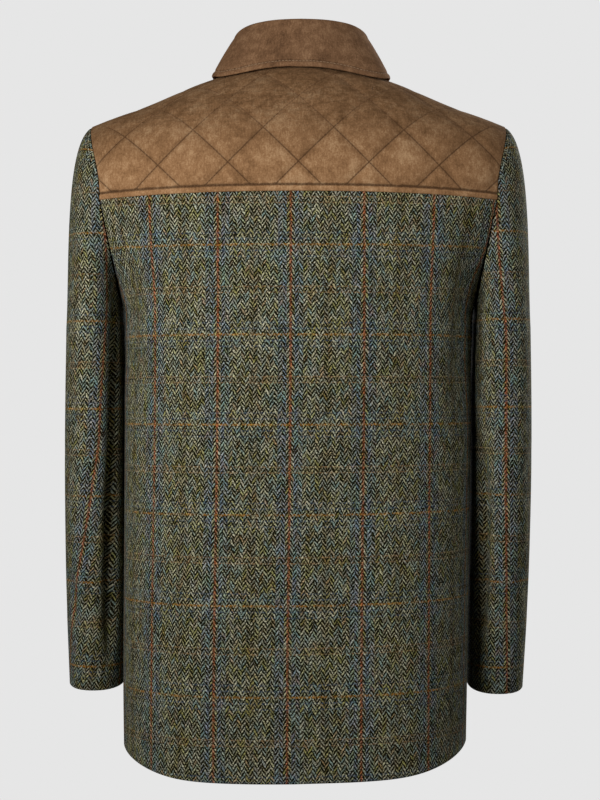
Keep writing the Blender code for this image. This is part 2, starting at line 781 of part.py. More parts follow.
def fold_point(turn):
    """Top of the collar stand."""
    x, y = round_neck(turn, STAND_FOLD_HALF_WIDTH, STAND_FOLD_BACK_Y, STAND_FOLD_FRONT_Y)
    return np.array((x + COLLAR_LEAN, y, table_value(COLLAR_FOLD, "z", abs(math.degrees(turn)))))


def neck_out(turn):
    """Outward direction of the neck oval."""
    return np.array(Vector((math.sin(turn), -math.cos(turn), 0.0)).normalized())


def stand_column(turn):
    """Points up the stand from the neck seam to the fold."""
    x, y = round_neck(turn, NECK_HALF_WIDTH, NECK_BACK_Y, NECK_FRONT_Y)
    foot = np.array((x, y, shoulder_z(x, y) + STAND_FOOT_LIFT))
    return evenly(np.array((foot, fold_point(turn))), STAND_ROWS)


def leaf_column(turn):
    """Points down the leaf, over the fold and on to its lower edge."""
    fold = fold_point(turn)
    out = neck_out(turn)
    up = np.array((0.0, 0.0, 1.0))
    bend = []
    for step in LEAF_BEND:
        rise = step.up * COLLAR_SUEDE + step.clearances * FOLD_CLEARANCE
        bend.append(fold + out * step.out * COLLAR_SUEDE + up * rise)
    degrees = abs(math.degrees(turn))
    x = math.copysign(table_value(LEAF_EDGE, "x", degrees), turn) + COLLAR_LEAN
    y = table_value(LEAF_EDGE, "y", degrees)
    share = smooth(abs(turn) / COLLAR_END)
    lift = LEAF_LIFT_BACK + (LEAF_LIFT_FRONT - LEAF_LIFT_BACK) * share
    edge = np.array((x, y, shoulder_z(x, y))) + shoulder_normal(x, y) * lift
    fall = []
    for t in np.linspace(0.0, 1.0, LEAF_ROWS + 1)[1:]:
        bulge = LEAF_BULGE * math.sin(math.pi * t)
        fall.append(bend[-1] + (edge - bend[-1]) * t + (out + up) * bulge)
    return np.array((bend + fall)[::-1])


def build_collar():
    """Collar stand and leaf."""
    turns = np.linspace(-COLLAR_END, COLLAR_END, COLLAR_COLUMNS + 1)
    cloth_wall("collar_stand", [stand_column(turn) for turn in turns], COLLAR_SUEDE, suede_collar)
    cloth_wall("collar_leaf", [leaf_column(turn) for turn in turns], COLLAR_SUEDE, suede_collar)


# Buttons


def front_y(z):
    """Depth of the overlapping front on the centre line."""
    return shoulder_y(0.0, z) if z > YOKE_SEAM_Z else section_y(0.0, z, 1)


def build_buttons():
    """Turned buttons in a row down the centre front."""
    profile = (
        (0.0, BUTTON_THICK - BUTTON_DISH),
        (BUTTON_RADIUS - 2 * BUTTON_RIM, BUTTON_THICK - BUTTON_DISH),
        (BUTTON_RADIUS - BUTTON_RIM, BUTTON_THICK),
        (BUTTON_RADIUS - BUTTON_DISH, BUTTON_THICK),
        (BUTTON_RADIUS, BUTTON_THICK - BUTTON_DISH),
        (BUTTON_RADIUS, BUTTON_DISH),
        (BUTTON_RADIUS - BUTTON_DISH, 0.0),
        (0.0, 0.0),
    )
    for number, level in enumerate(BUTTON_LEVELS, start=1):
        mesh = bpy.data.meshes.new(f"button_{number}")
        edges = [(i, i + 1) for i in range(len(profile) - 1)]
        mesh.from_pydata([(radius, 0.0, height) for radius, height in profile], edges, [])
        obj = add_object(f"button_{number}", mesh, horn)
        screw = obj.modifiers.new("turned", "SCREW")
        screw.steps = BUTTON_STEPS
        screw.render_steps = BUTTON_STEPS
        screw.use_merge_vertices = True
        screw.merge_threshold = BUTTON_MERGE
        slope = (front_y(level + BUTTON_RADIUS) - front_y(level - BUTTON_RADIUS)) / (2 * BUTTON_RADIUS)
        normal = Vector((0.0, 1.0, -slope)).normalized()
        obj.rotation_euler = normal.to_track_quat("Z", "Y").to_euler()
        obj.location = Vector((HEM_LEAN * hem_share(level), front_y(level), level)) + normal * SEAM_GAP


# The coat

for old in list(bpy.data.objects):
    bpy.data.objects.remove(old, do_unlink=True)

coat_parts = bpy.data.collections.new("field_coat")
bpy.context.scene.collection.children.link(coat_parts)
tweed = new_material("green_brown_tweed", (0.098, 0.094, 0.060), 0.95)
suede = new_material("quilted_suede", (0.215, 0.125, 0.062), 0.90)
suede_collar = new_material("collar_suede", (0.150, 0.084, 0.042), 0.90)
horn = new_material("brown_horn", (0.060, 0.034, 0.018), 0.40)

build_back()
build_fronts()
build_yoke()
build_sleeves()
build_collar()
build_buttons()
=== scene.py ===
"""Looks of a tweed field coat with a quilted suede yoke and a suede collar.

Every cut piece of cloth is made again as a fine shell on the form of its solid, with
rounded edges, creases and a map in metres that its weave follows. Stitches, buttons
and buttonholes are added on top. Metres, +Z up, the coat's back towards -Y.
"""

import logging
import math
from dataclasses import dataclass, field, replace
from enum import Enum
from typing import Callable, NamedTuple, Sequence, Union

import bpy
import numpy as np
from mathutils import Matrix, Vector


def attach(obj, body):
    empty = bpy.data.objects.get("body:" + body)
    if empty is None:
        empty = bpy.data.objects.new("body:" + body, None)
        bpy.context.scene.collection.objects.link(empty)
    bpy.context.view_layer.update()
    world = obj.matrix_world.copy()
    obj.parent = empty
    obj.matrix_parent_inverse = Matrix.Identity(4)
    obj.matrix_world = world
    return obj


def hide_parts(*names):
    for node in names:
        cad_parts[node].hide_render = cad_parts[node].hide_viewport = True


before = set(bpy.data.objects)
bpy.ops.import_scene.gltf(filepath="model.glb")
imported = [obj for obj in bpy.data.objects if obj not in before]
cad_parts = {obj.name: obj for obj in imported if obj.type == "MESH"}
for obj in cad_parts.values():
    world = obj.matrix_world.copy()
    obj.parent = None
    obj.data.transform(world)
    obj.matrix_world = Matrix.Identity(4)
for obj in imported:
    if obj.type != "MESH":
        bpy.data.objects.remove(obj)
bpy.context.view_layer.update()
LOG = logging.getLogger("field_coat")
BODY = "root"
MAP_NAME = "Cloth"
# Points of a fine polyline, before it is cut into a grid's spans
FINE = 320
# Height over which the end of a turned-up hem runs out
TURN_UP_END = 0.003
MIRROR = np.array((-1.0, 1.0, 1.0))
# Each edge of a grid with the row or column next to it
EDGES = (0, 1), (-1, -2)
WHITE = (1.0, 1.0, 1.0, 1.0)

Array = np.ndarray
Number = Union[float, Array]
Operand = Union["Value", float]
Piece = bpy.types.Object
Material = bpy.types.Material
Socket = bpy.types.NodeSocket


class Facing(Enum):
    """Which half of the coat a panel belongs to; the value is its sign along Y."""

    BACK = -1
    FRONT = 1


class Side(Enum):
    """Which side of the wearer a piece is on; the value is its word in a node's name."""

    LEFT = "left"
    RIGHT = "right"


class Half(Enum):
    """Half of a two-piece sleeve; the value is its word in a node's name."""

    TOP = "top"
    UNDER = "under"


class Held(Enum):
    """How a sheet of cloth is held."""

    HUNG = "hung"
    FOLDED = "folded"


class Slot(Enum):
    """The record's material slots."""

    TWEED = "tweed"
    YOKE = "yoke_suede"
    COLLAR = "collar_suede"
    HORN = "horn"


class Section(NamedTuple):
    """Horizontal section of the body."""

    z: float
    half_width: float
    back_depth: float
    front_depth: float
    fullness: float


class Ring(NamedTuple):
    """Ring of a sleeve below its cap, for the sleeve at +X."""

    z: float
    centre_x: float
    half_width: float
    centre_y: float
    half_depth: float


class Knot(NamedTuple):
    """Value that a smooth curve takes at a place."""

    at: float
    value: float


class LeafEdge(NamedTuple):
    """Lower edge of the collar leaf at a turn in degrees, seen from above."""

    turn: float
    x: float
    y: float


class Bend(NamedTuple):
    """Step of the leaf's bend over the stand, in wall thicknesses and clearances."""

    out: float
    up: float
    clearances: float


class Crease(NamedTuple):
    """Soft trough or ridge between two places on a panel, with its half width and depth."""

    u_start: float
    v_start: float
    u_end: float
    v_end: float
    width: float
    depth: float


class Patch(NamedTuple):
    """Soft patches in a cloth: how many for each millimetre, their layer and their detail."""

    across: float
    along: float
    layer: float = 0.0
    detail: float = 1.0
    rough: float = 0.5


class Lamp(NamedTuple):
    """Square soft light; its spread is in degrees."""

    name: str
    place: tuple
    target: tuple
    size: float
    power: float
    colour: tuple = (1.0, 1.0, 1.0)
    spread: float = 180.0


# Small helpers


def curve_through(run: Array, values: Array, place: Number) -> Number:
    """Smooth curve through values or points.

    Args:
        run: Rising places of the values.
        values: A value or a point for each place.
        place: Where the curve is wanted.

    Returns:
        The values or points there.
    """
    slopes = np.gradient(values, run, axis=0)
    i = np.clip(np.searchsorted(run, place) - 1, 0, len(run) - 2)
    span = run[i + 1] - run[i]
    t = (place - run[i]) / span
    if values.ndim > 1:
        span, t = span[:, None], t[:, None]
    start = values[i] * (1 + 2 * t) + slopes[i] * span * t
    end = values[i + 1] * (3 - 2 * t) + slopes[i + 1] * span * (t - 1)
    return start * (1 - t) ** 2 + end * t * t


def follow(rows: Sequence[tuple], place: Number, column: str = "value") -> Number:
    """Smooth curve through one column of a short table.

    Args:
        rows: Table rows whose first column is the place.
        place: Where the curve is wanted; it is held level past both ends.
        column: The column.

    Returns:
        The column's values there.
    """
    ordered = sorted(rows)
    places = np.array([row[0] for row in ordered])
    values = np.array([getattr(row, column) for row in ordered])
    return curve_through(places, values, np.clip(place, places[0], places[-1]))


def smooth(t: Number) -> Number:
    """Ease from 0 to 1."""
    t = np.clip(t, 0.0, 1.0)
    return t * t * (3 - 2 * t)


def rounded(value: Number, fullness: Number) -> Number:
    """Signed power that turns a circle's coordinate into a fuller oval's."""
    return np.sign(value) * np.abs(value) ** (2.0 / fullness)


def unit(vectors: Array) -> Array:
    """The vectors at length one."""
    size = np.linalg.norm(vectors, axis=-1, keepdims=True)
    return vectors / np.maximum(size, 1e-12)


def lengths(points: Array) -> Array:
    """Distance along a polyline to each of its points."""
    steps = np.linalg.norm(np.diff(points, axis=0), axis=1)
    return np.concatenate(([0.0], np.cumsum(steps)))


def at_lengths(points: Array, wanted: Array) -> Array:
    """Points at the wanted distances along a polyline."""
    run = lengths(points)
    return np.stack([np.interp(wanted, run, points[:, k]) for k in range(3)], axis=1)


def evenly(points: Array, spans: int) -> Array:
    """The polyline cut into equal spans."""
    return at_lengths(points, np.linspace(0.0, lengths(points)[-1], spans + 1))


def flowing(points: Array, spans: int) -> Array:
    """Smooth curve through a few points, cut into equal spans."""
    run = lengths(points)
    return evenly(curve_through(run, points, np.linspace(0.0, run[-1], FINE)), spans)


def grid_normals(points: Array) -> Array:
    """Outward directions of a grid whose columns run upwards and go right, seen from outside."""
    return unit(np.cross(np.gradient(points, axis=0), np.gradient(points, axis=1)))


def crease_height(creases: Sequence[Crease], u: Array, v: Array) -> Array:
    """Sum of the creases over a panel.

    Args:
        creases: The panel's creases.
        u: Place across the panel.
        v: Place along the panel.

    Returns:
        How far each point moves outwards.
    """
    total = np.zeros_like(u)
    fade_share = 0.4
    for crease in creases:
        run_u = crease.u_end - crease.u_start
        run_v = crease.v_end - crease.v_start
        length = math.hypot(run_u, run_v)
        along = ((u - crease.u_start) * run_u + (v - crease.v_start) * run_v) / length**2
        away = ((u - crease.u_start) * run_v - (v - crease.v_start) * run_u) / length
        fade = smooth(along / fade_share) * smooth((1.0 - along) / fade_share)
        total += crease.depth * fade * np.exp(-((away / crease.width) ** 2))
    return total


def turned_up(height: Array, thickness: float, extra: float, turn_up: float) -> Array:
    """Thickness of a wall whose lower edge is turned up, by the height over that edge."""
    return thickness + extra * smooth((turn_up - height) / TURN_UP_END)


def deselect_all() -> None:
    """Leave nothing selected, so that an operator acts on new pieces alone."""
    for obj in bpy.context.selected_objects:
        obj.select_set(False)


def make_active(obj: Piece) -> None:
    """Select one object alone and make it active.

    Args:
        obj: The object.
    """
    deselect_all()
    obj.select_set(True)
    bpy.context.view_layer.objects.active = obj


def apply_modifiers(obj: Piece) -> None:
    """Apply every modifier of an object in order.

    Args:
        obj: The object.
    """
    make_active(obj)
    for modifier in list(obj.modifiers):
        bpy.ops.object.modifier_apply(modifier=modifier.name)


def apply_place(obj: Piece) -> None:
    """Put an object's place into its mesh."""
    make_active(obj)
    bpy.ops.object.transform_apply(location=True, rotation=True, scale=True)


def finish_piece(obj: Piece, slot: Slot) -> None:
    """Let a piece ride on the coat and report it.

    Args:
        obj: The piece.
        slot: The record's material slot; not used.
    """
    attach(obj, BODY)
    LOG.info("%s: %d faces", obj.name, len(obj.data.polygons))


def add_piece(name: str, arrays: Sequence[Array], material: Material, slot: Slot) -> Piece:
    """Put a smooth shell of four-sided faces into the scene as a piece of the coat.

    Args:
        name: Name of the piece.
        arrays: Its points, four point numbers a face, counter-clockwise from outside, and its map in metres.
        material: Its finish.
        slot: The record's material slot.

    Returns:
        The new piece.
    """
    verts, quads, weave = arrays
    mesh = bpy.data.meshes.new(name)
    mesh.vertices.add(len(verts))
    mesh.vertices.foreach_set("co", verts.astype(np.float32).ravel())
    mesh.loops.add(quads.size)
    mesh.loops.foreach_set("vertex_index", quads.astype(np.int32).ravel())
    mesh.polygons.add(len(quads))
    mesh.polygons.foreach_set("loop_start", np.arange(0, quads.size, 4, dtype=np.int32))
    mesh.update(calc_edges=True)
    layer = mesh.uv_layers.new(name=MAP_NAME)
    layer.data.foreach_set("uv", weave[quads.ravel()].astype(np.float32).ravel())
    mesh.validate()
    mesh.shade_smooth()
    mesh.materials.append(material)
    obj = bpy.data.objects.new(name, mesh)
    bpy.context.scene.collection.objects.link(obj)
    finish_piece(obj, slot)
    return obj


# Cloth walls and stitches


@dataclass
class ClothSheet:
    """One cut piece of cloth: a thin wall with rounded edges.

    The grid's columns run upwards and go to the right as seen from outside.
    """

    name: str
    points: Array
    weave: Array
    thickness: Number
    rim_steps: int = 4
    rim_share: float = 0.5
    seam_press: float = 0.00015
    top_tuck: float = 0.0

    def __post_init__(self) -> None:
        """Work out the wall's thickness everywhere and its outward directions."""
        self.wall = np.broadcast_to(np.asarray(self.thickness, float), self.points.shape[:2])
        self.normals = grid_normals(self.points)

    def moved(self, height: Array) -> "ClothSheet":
        """The same sheet with its points moved outwards by a height each."""
        return replace(self, points=self.points + self.normals * height[..., None])

    def drawn_in(self) -> Array:
        """Draw the grid's edges in, to leave room for the round rim.

        Returns:
            The grid's points.
        """
        grid = self.points.copy()
        for edge, inside in EDGES:
            for here, there in ((np.s_[edge], np.s_[inside]), (np.s_[:, edge], np.s_[:, inside])):
                inwards = unit(self.points[there] - self.points[here])
                grid[here] += inwards * (self.wall[here][:, None] * self.rim_share - self.seam_press)
        grid[:, -1] += unit(self.points[:, -1] - self.points[:, -2]) * self.top_tuck
        return grid

    def rim(self, grid: Array) -> tuple[Array, Array]:
        """Follow the grid's border.

        Args:
            grid: The grid with its edges drawn in.

        Returns:
            Point numbers, counter-clockwise from outside, and the direction out of the sheet at each.
        """
        number = np.arange(grid[..., 0].size).reshape(grid.shape[:2])
        loop = np.concatenate((number[:-1, 0], number[-1, :-1], number[:0:-1, -1], number[0, :0:-1]))
        out = np.zeros_like(grid)
        for edge, inside in EDGES:
            out[edge] += unit(grid[edge] - grid[inside])
            out[:, edge] += unit(grid[:, edge] - grid[:, inside])
        return loop, unit(out.reshape(-1, 3)[loop])

    def build(self, material: Material, slot: Slot) -> Piece:
        """Make the wall as one closed mesh.

        Args:
            material: The cloth's finish.
            slot: The record's material slot.

        Returns:
            The new piece.
        """
        grid = self.drawn_in()
        inner = grid - self.normals * self.wall[..., None]
        count = grid[..., 0].size
        number = np.arange(count).reshape(grid.shape[:2])
        corners = (number[:-1, :-1], number[1:, :-1], number[1:, 1:], number[:-1, 1:])
        outside = np.stack([corner.ravel() for corner in corners], axis=1)
        loop, out = self.rim(grid)
        flat_outer, flat_inner = grid.reshape(-1, 3), inner.reshape(-1, 3)
        middle = (flat_outer[loop] + flat_inner[loop]) / 2
        half = (flat_outer[loop] - flat_inner[loop]) / 2
        reach = self.wall.reshape(-1)[loop][:, None] * self.rim_share
        verts = [flat_outer, flat_inner]
        loops = [loop]
        for step in range(1, self.rim_steps):
            turn = math.pi * step / self.rim_steps
            loops.append(2 * count + (step - 1) * len(loop) + np.arange(len(loop)))
            verts.append(middle + half * math.cos(turn) + out * reach * math.sin(turn))
        loops.append(loop + count)
        quads = [outside, outside[:, ::-1] + count]
        for near, far in zip(loops, loops[1:]):
            quads.append(np.stack((np.roll(near, -1), near, far, np.roll(far, -1)), axis=1))
        flat_weave = self.weave.reshape(-1, 2)
        weave = [flat_weave, flat_weave] + [flat_weave[loop]] * (self.rim_steps - 1)
        arrays = [np.concatenate(parts) for parts in (verts, quads, weave)]
        return add_piece(self.name, arrays, material, slot)

    def cut(self) -> tuple[tuple[float, float], float]:
        """Measure the flat cut.

        Returns:
            Its width and length, and its area.
        """
        across = np.linalg.norm(np.diff(self.points, axis=0), axis=2)
        along = np.linalg.norm(np.diff(self.points, axis=1), axis=2)
        mean_across = (across[:, 1:] + across[:, :-1]) / 2
        mean_along = (along[1:] + along[:-1]) / 2
        flat = float(across.sum(axis=0).max()), float(along.sum(axis=1).max())
        return flat, min(float((mean_across * mean_along).sum()), flat[0] * flat[1])

    def dress(self, node: str, material: Material, slot: Slot, held: Held,
              rests_on: Sequence[str] = ("back_yoke",)) -> None:
        """Make the wall, hide the solid that it stands for and measure its cut.

        Args:
            node: The solid's node.
            material: The cloth's finish.
            slot: The record's material slot.
            held: How the cloth is held; not used.
            rests_on: The nodes that hold it; not used.
        """
        piece = self.build(material, slot)
        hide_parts(node)
        flat, area = self.cut()

    def at(self, column: Array, row: Array) -> tuple[Array, Array]:
        """Points and outward directions between the grid's columns and rows.

        Args:
            column: Places across the grid, counted in columns.
            row: Places up the grid, counted in rows.

        Returns:
            The points and directions.
        """
        i = np.clip(np.floor(column).astype(int), 0, self.points.shape[0] - 2)
        j = np.clip(np.floor(row).astype(int), 0, self.points.shape[1] - 2)
        s, t = (column - i)[:, None], (row - j)[:, None]
        found = []
        for values in (self.points, self.normals):
            low = values[i, j] * (1 - s) + values[i + 1, j] * s
            high = values[i, j + 1] * (1 - s) + values[i + 1, j + 1] * s
            found.append(low * (1 - t) + high * t)
        return found[0], unit(found[1])


@dataclass
class StitchRow:
    """Running stitches along lines on cloth, joined in one piece."""

    name: str
    length: float = 0.0030
    gap: float = 0.0009
    radius: float = 0.00030
    height: float = 0.00022
    sunk: float = 0.8
    sides: int = 5
    steps: int = 4
    look_ahead: float = 0.0001
    lines: list = field(default_factory=list)

    def along(self, points: Array, normals: Array) -> None:
        """Add a line of stitches by its points on the cloth and their outward directions."""
        self.lines.append((points, normals))

    def tubes(self, points: Array, normals: Array) -> tuple[Array, Array]:
        """Make all the stitches on one line.

        Args:
            points: Points along the line, on the cloth.
            normals: Outward direction at each point.

        Returns:
            The points and faces of the arched tubes.
        """
        run = lengths(points)
        count = max(1, int((run[-1] + self.gap) / (self.length + self.gap)))
        starts = np.arange(count) * (self.length + self.gap)
        shares = np.linspace(0.0, 1.0, self.steps + 1)
        wanted = (starts[:, None] + shares * self.length).ravel()
        up = unit(np.stack([np.interp(wanted, run, normals[:, k]) for k in range(3)], axis=1))
        ahead, behind = (at_lengths(points, wanted + step) for step in (self.look_ahead, -self.look_ahead))
        aside = unit(np.cross(up, unit(ahead - behind)))
        arch = np.tile(np.sin(math.pi * shares), count)[:, None]
        centre = at_lengths(points, wanted) + up * (self.height * arch + self.radius * (arch - self.sunk))
        turns = np.arange(self.sides) * 2 * math.pi / self.sides
        around = [aside * math.cos(turn) + up * math.sin(turn) for turn in turns]
        verts = np.stack([centre + spoke * self.radius for spoke in around], axis=1)
        number = np.arange(verts.shape[0] * self.sides).reshape(count, self.steps + 1, self.sides)
        near, far = number[:, :-1], number[:, 1:]
        faces = np.stack((near, np.roll(near, -1, 2), np.roll(far, -1, 2), far), axis=-1)
        return verts.reshape(-1, 3), faces.reshape(-1, 4)

    def build(self, material: Material, slot: Slot) -> Piece:
        """Join all the lines' stitches in one piece.

        Args:
            material: The thread's finish.
            slot: The record's material slot.

        Returns:
            The new piece.
        """
        verts, faces, start = [], [], 0
        for points, normals in self.lines:
            new_verts, new_faces = self.tubes(points, normals)
            verts.append(new_verts)
            faces.append(new_faces + start)
            start += len(new_verts)
        joined = np.concatenate(verts)
        return add_piece(self.name, (joined, np.concatenate(faces), joined[:, (0, 2)]), material, slot)


# Forms that several pieces share


@dataclass(frozen=True)
class BodyForm:
    """Surface of the coat's body below the yoke seam."""

    yoke_seam_z: float = -0.1535
    yoke_seam_drop: float = 0.0057
    yoke_seam_curve: float = 2.0
    underarm_z: float = -0.275
    hem_side_z: float = -0.777
    hem_back_drop: float = 0.0225
    hem_front_drop: float = 0.012
    hem_curve: float = 5.0
    hem_lean: float = -0.004
    hem_right_rise: float = 0.006
    armhole_seam_x: float = 0.2223
    armhole_spread_curve: float = 1.3
    fold_fade: float = 0.35
    sections: tuple = (
        Section(-0.150, 0.2730, 0.1280, 0.1150, 2.50),
        Section(-0.180, 0.2560, 0.1300, 0.1200, 2.50),
        Section(-0.210, 0.2360, 0.1325, 0.1260, 2.50),
        Section(-0.240, 0.2165, 0.1350, 0.1310, 2.50),
        Section(-0.275, 0.2045, 0.1370, 0.1345, 2.50),
        Section(-0.310, 0.2022, 0.1385, 0.1370, 2.52),
        Section(-0.390, 0.2007, 0.1390, 0.1380, 2.56),
        Section(-0.470, 0.2000, 0.1390, 0.1370, 2.60),
        Section(-0.600, 0.1990, 0.1450, 0.1400, 2.65),
        Section(-0.700, 0.1985, 0.1510, 0.1450, 2.70),
        Section(-0.800, 0.1970, 0.1560, 0.1500, 2.70),
    )

    @property
    def seam_edge_z(self) -> float:
        """Level of the yoke seam's ends."""
        return self.yoke_seam_z - self.yoke_seam_drop

    def value(self, column: str, z: Number) -> Number:
        """Smooth value of a column of the sections' table on a level."""
        return follow(self.sections, z, column)

    def oval(self, z: float, facing: Facing) -> tuple[float, float, float]:
        """Half width, depth and fullness of the body's oval on a level."""
        depth = self.value("back_depth" if facing is Facing.BACK else "front_depth", z)
        return self.value("half_width", z), depth, self.value("fullness", z)

    def depth_at(self, x: Number, z: float, facing: Facing) -> Number:
        """The body's y at a place across it, on a level of its back or front."""
        half, depth, power = self.oval(z, facing)
        return facing.value * depth * np.maximum(0.0, 1.0 - (np.abs(x) / half) ** power) ** (1.0 / power)

    def edge(self, z: float, facing: Facing) -> tuple[float, float]:
        """Follow a panel's edge: the side seam, then the armhole.

        Args:
            z: Level.
            facing: Back or front.

        Returns:
            The edge's x and y on that level, at +X.
        """
        if z <= self.underarm_z:
            return float(self.value("half_width", z)), 0.0
        under_x = float(self.value("half_width", self.underarm_z))
        rise = (z - self.underarm_z) / (self.seam_edge_z - self.underarm_z)
        x = under_x + (self.armhole_seam_x - under_x) * rise**self.armhole_spread_curve
        return x, float(self.depth_at(x, z, facing))

    def rows(self, facing: Facing, x_start: float, counts: tuple[int, int]) -> list[Array]:
        """Fine polylines from the hem up to the yoke seam, each out to the panel's edge at +X.

        Args:
            facing: Back or front.
            x_start: Where each row starts.
            counts: Number of rows below the underarm, and of spans above it.

        Returns:
            The rows' points.
        """
        drop = self.hem_back_drop if facing is Facing.BACK else self.hem_front_drop
        levels = []
        for share in np.arange(counts[0]) / counts[0]:
            z = self.hem_side_z + (self.underarm_z - self.hem_side_z) * share
            levels.append((z, -drop * (1.0 - share), self.hem_curve))
        for share in np.arange(counts[1] + 1) / counts[1]:
            z = self.underarm_z + (self.seam_edge_z - self.underarm_z) * share
            levels.append((z, self.yoke_seam_drop * share, self.yoke_seam_curve))
        found = []
        for z, lift, curve in levels:
            half_width, depth, fullness = self.oval(z, facing)
            x_edge = self.edge(z, facing)[0]
            power = fullness / 2.0
            start = math.asin(math.copysign((abs(x_start) / half_width) ** power, x_start))
            end = math.asin(min(1.0, (x_edge / half_width) ** power))
            turns = np.linspace(start, end, FINE)
            x = half_width * rounded(np.sin(turns), fullness)
            y = facing.value * depth * rounded(np.cos(turns), fullness)
            level = z + lift * (1.0 - np.minimum(1.0, np.abs(x / x_edge)) ** curve)
            found.append(np.stack((x, y, level), axis=1))
        return found

    def hem_share(self, z: Number) -> Number:
        """How far down the skirt of the coat a level lies, from the underarm to the hem."""
        return smooth((self.underarm_z - z) / (self.underarm_z - self.hem_side_z))

    def swing(self, z: Number) -> Number:
        """How far the hanging coat is swung over on a level."""
        return self.hem_lean * self.hem_share(z)

    def hung(self, grid: Array) -> Array:
        """Hang a panel: swung over, and drawn up on the right.

        Args:
            grid: The panel's points.

        Returns:
            Its points as the coat hangs.
        """
        x, z = grid[..., 0], grid[..., 2]
        rise = self.hem_right_rise * self.hem_share(z) * np.clip(x / self.armhole_seam_x, 0.0, None)
        return np.stack((x + self.swing(z), grid[..., 1], z + rise), axis=-1)

    def fold_height(self, folds: Sequence[Crease], x: Array, z: Array) -> Array:
        """Sum of a panel's large folds.

        Args:
            folds: The panel's folds.
            x: Place across the panel.
            z: Level.

        Returns:
            How far each point moves outwards.
        """
        total = np.zeros_like(x)
        for fold in folds:
            along = (z - fold.v_start) / (fold.v_end - fold.v_start)
            centre = fold.u_start + (fold.u_end - fold.u_start) * along
            fade = smooth(along / self.fold_fade)
            if fold.v_end > self.hem_side_z:
                fade = fade * smooth((1.0 - along) / self.fold_fade)
            total += fold.depth * fade * np.exp(-(((x - centre) / fold.width) ** 2))
        return total


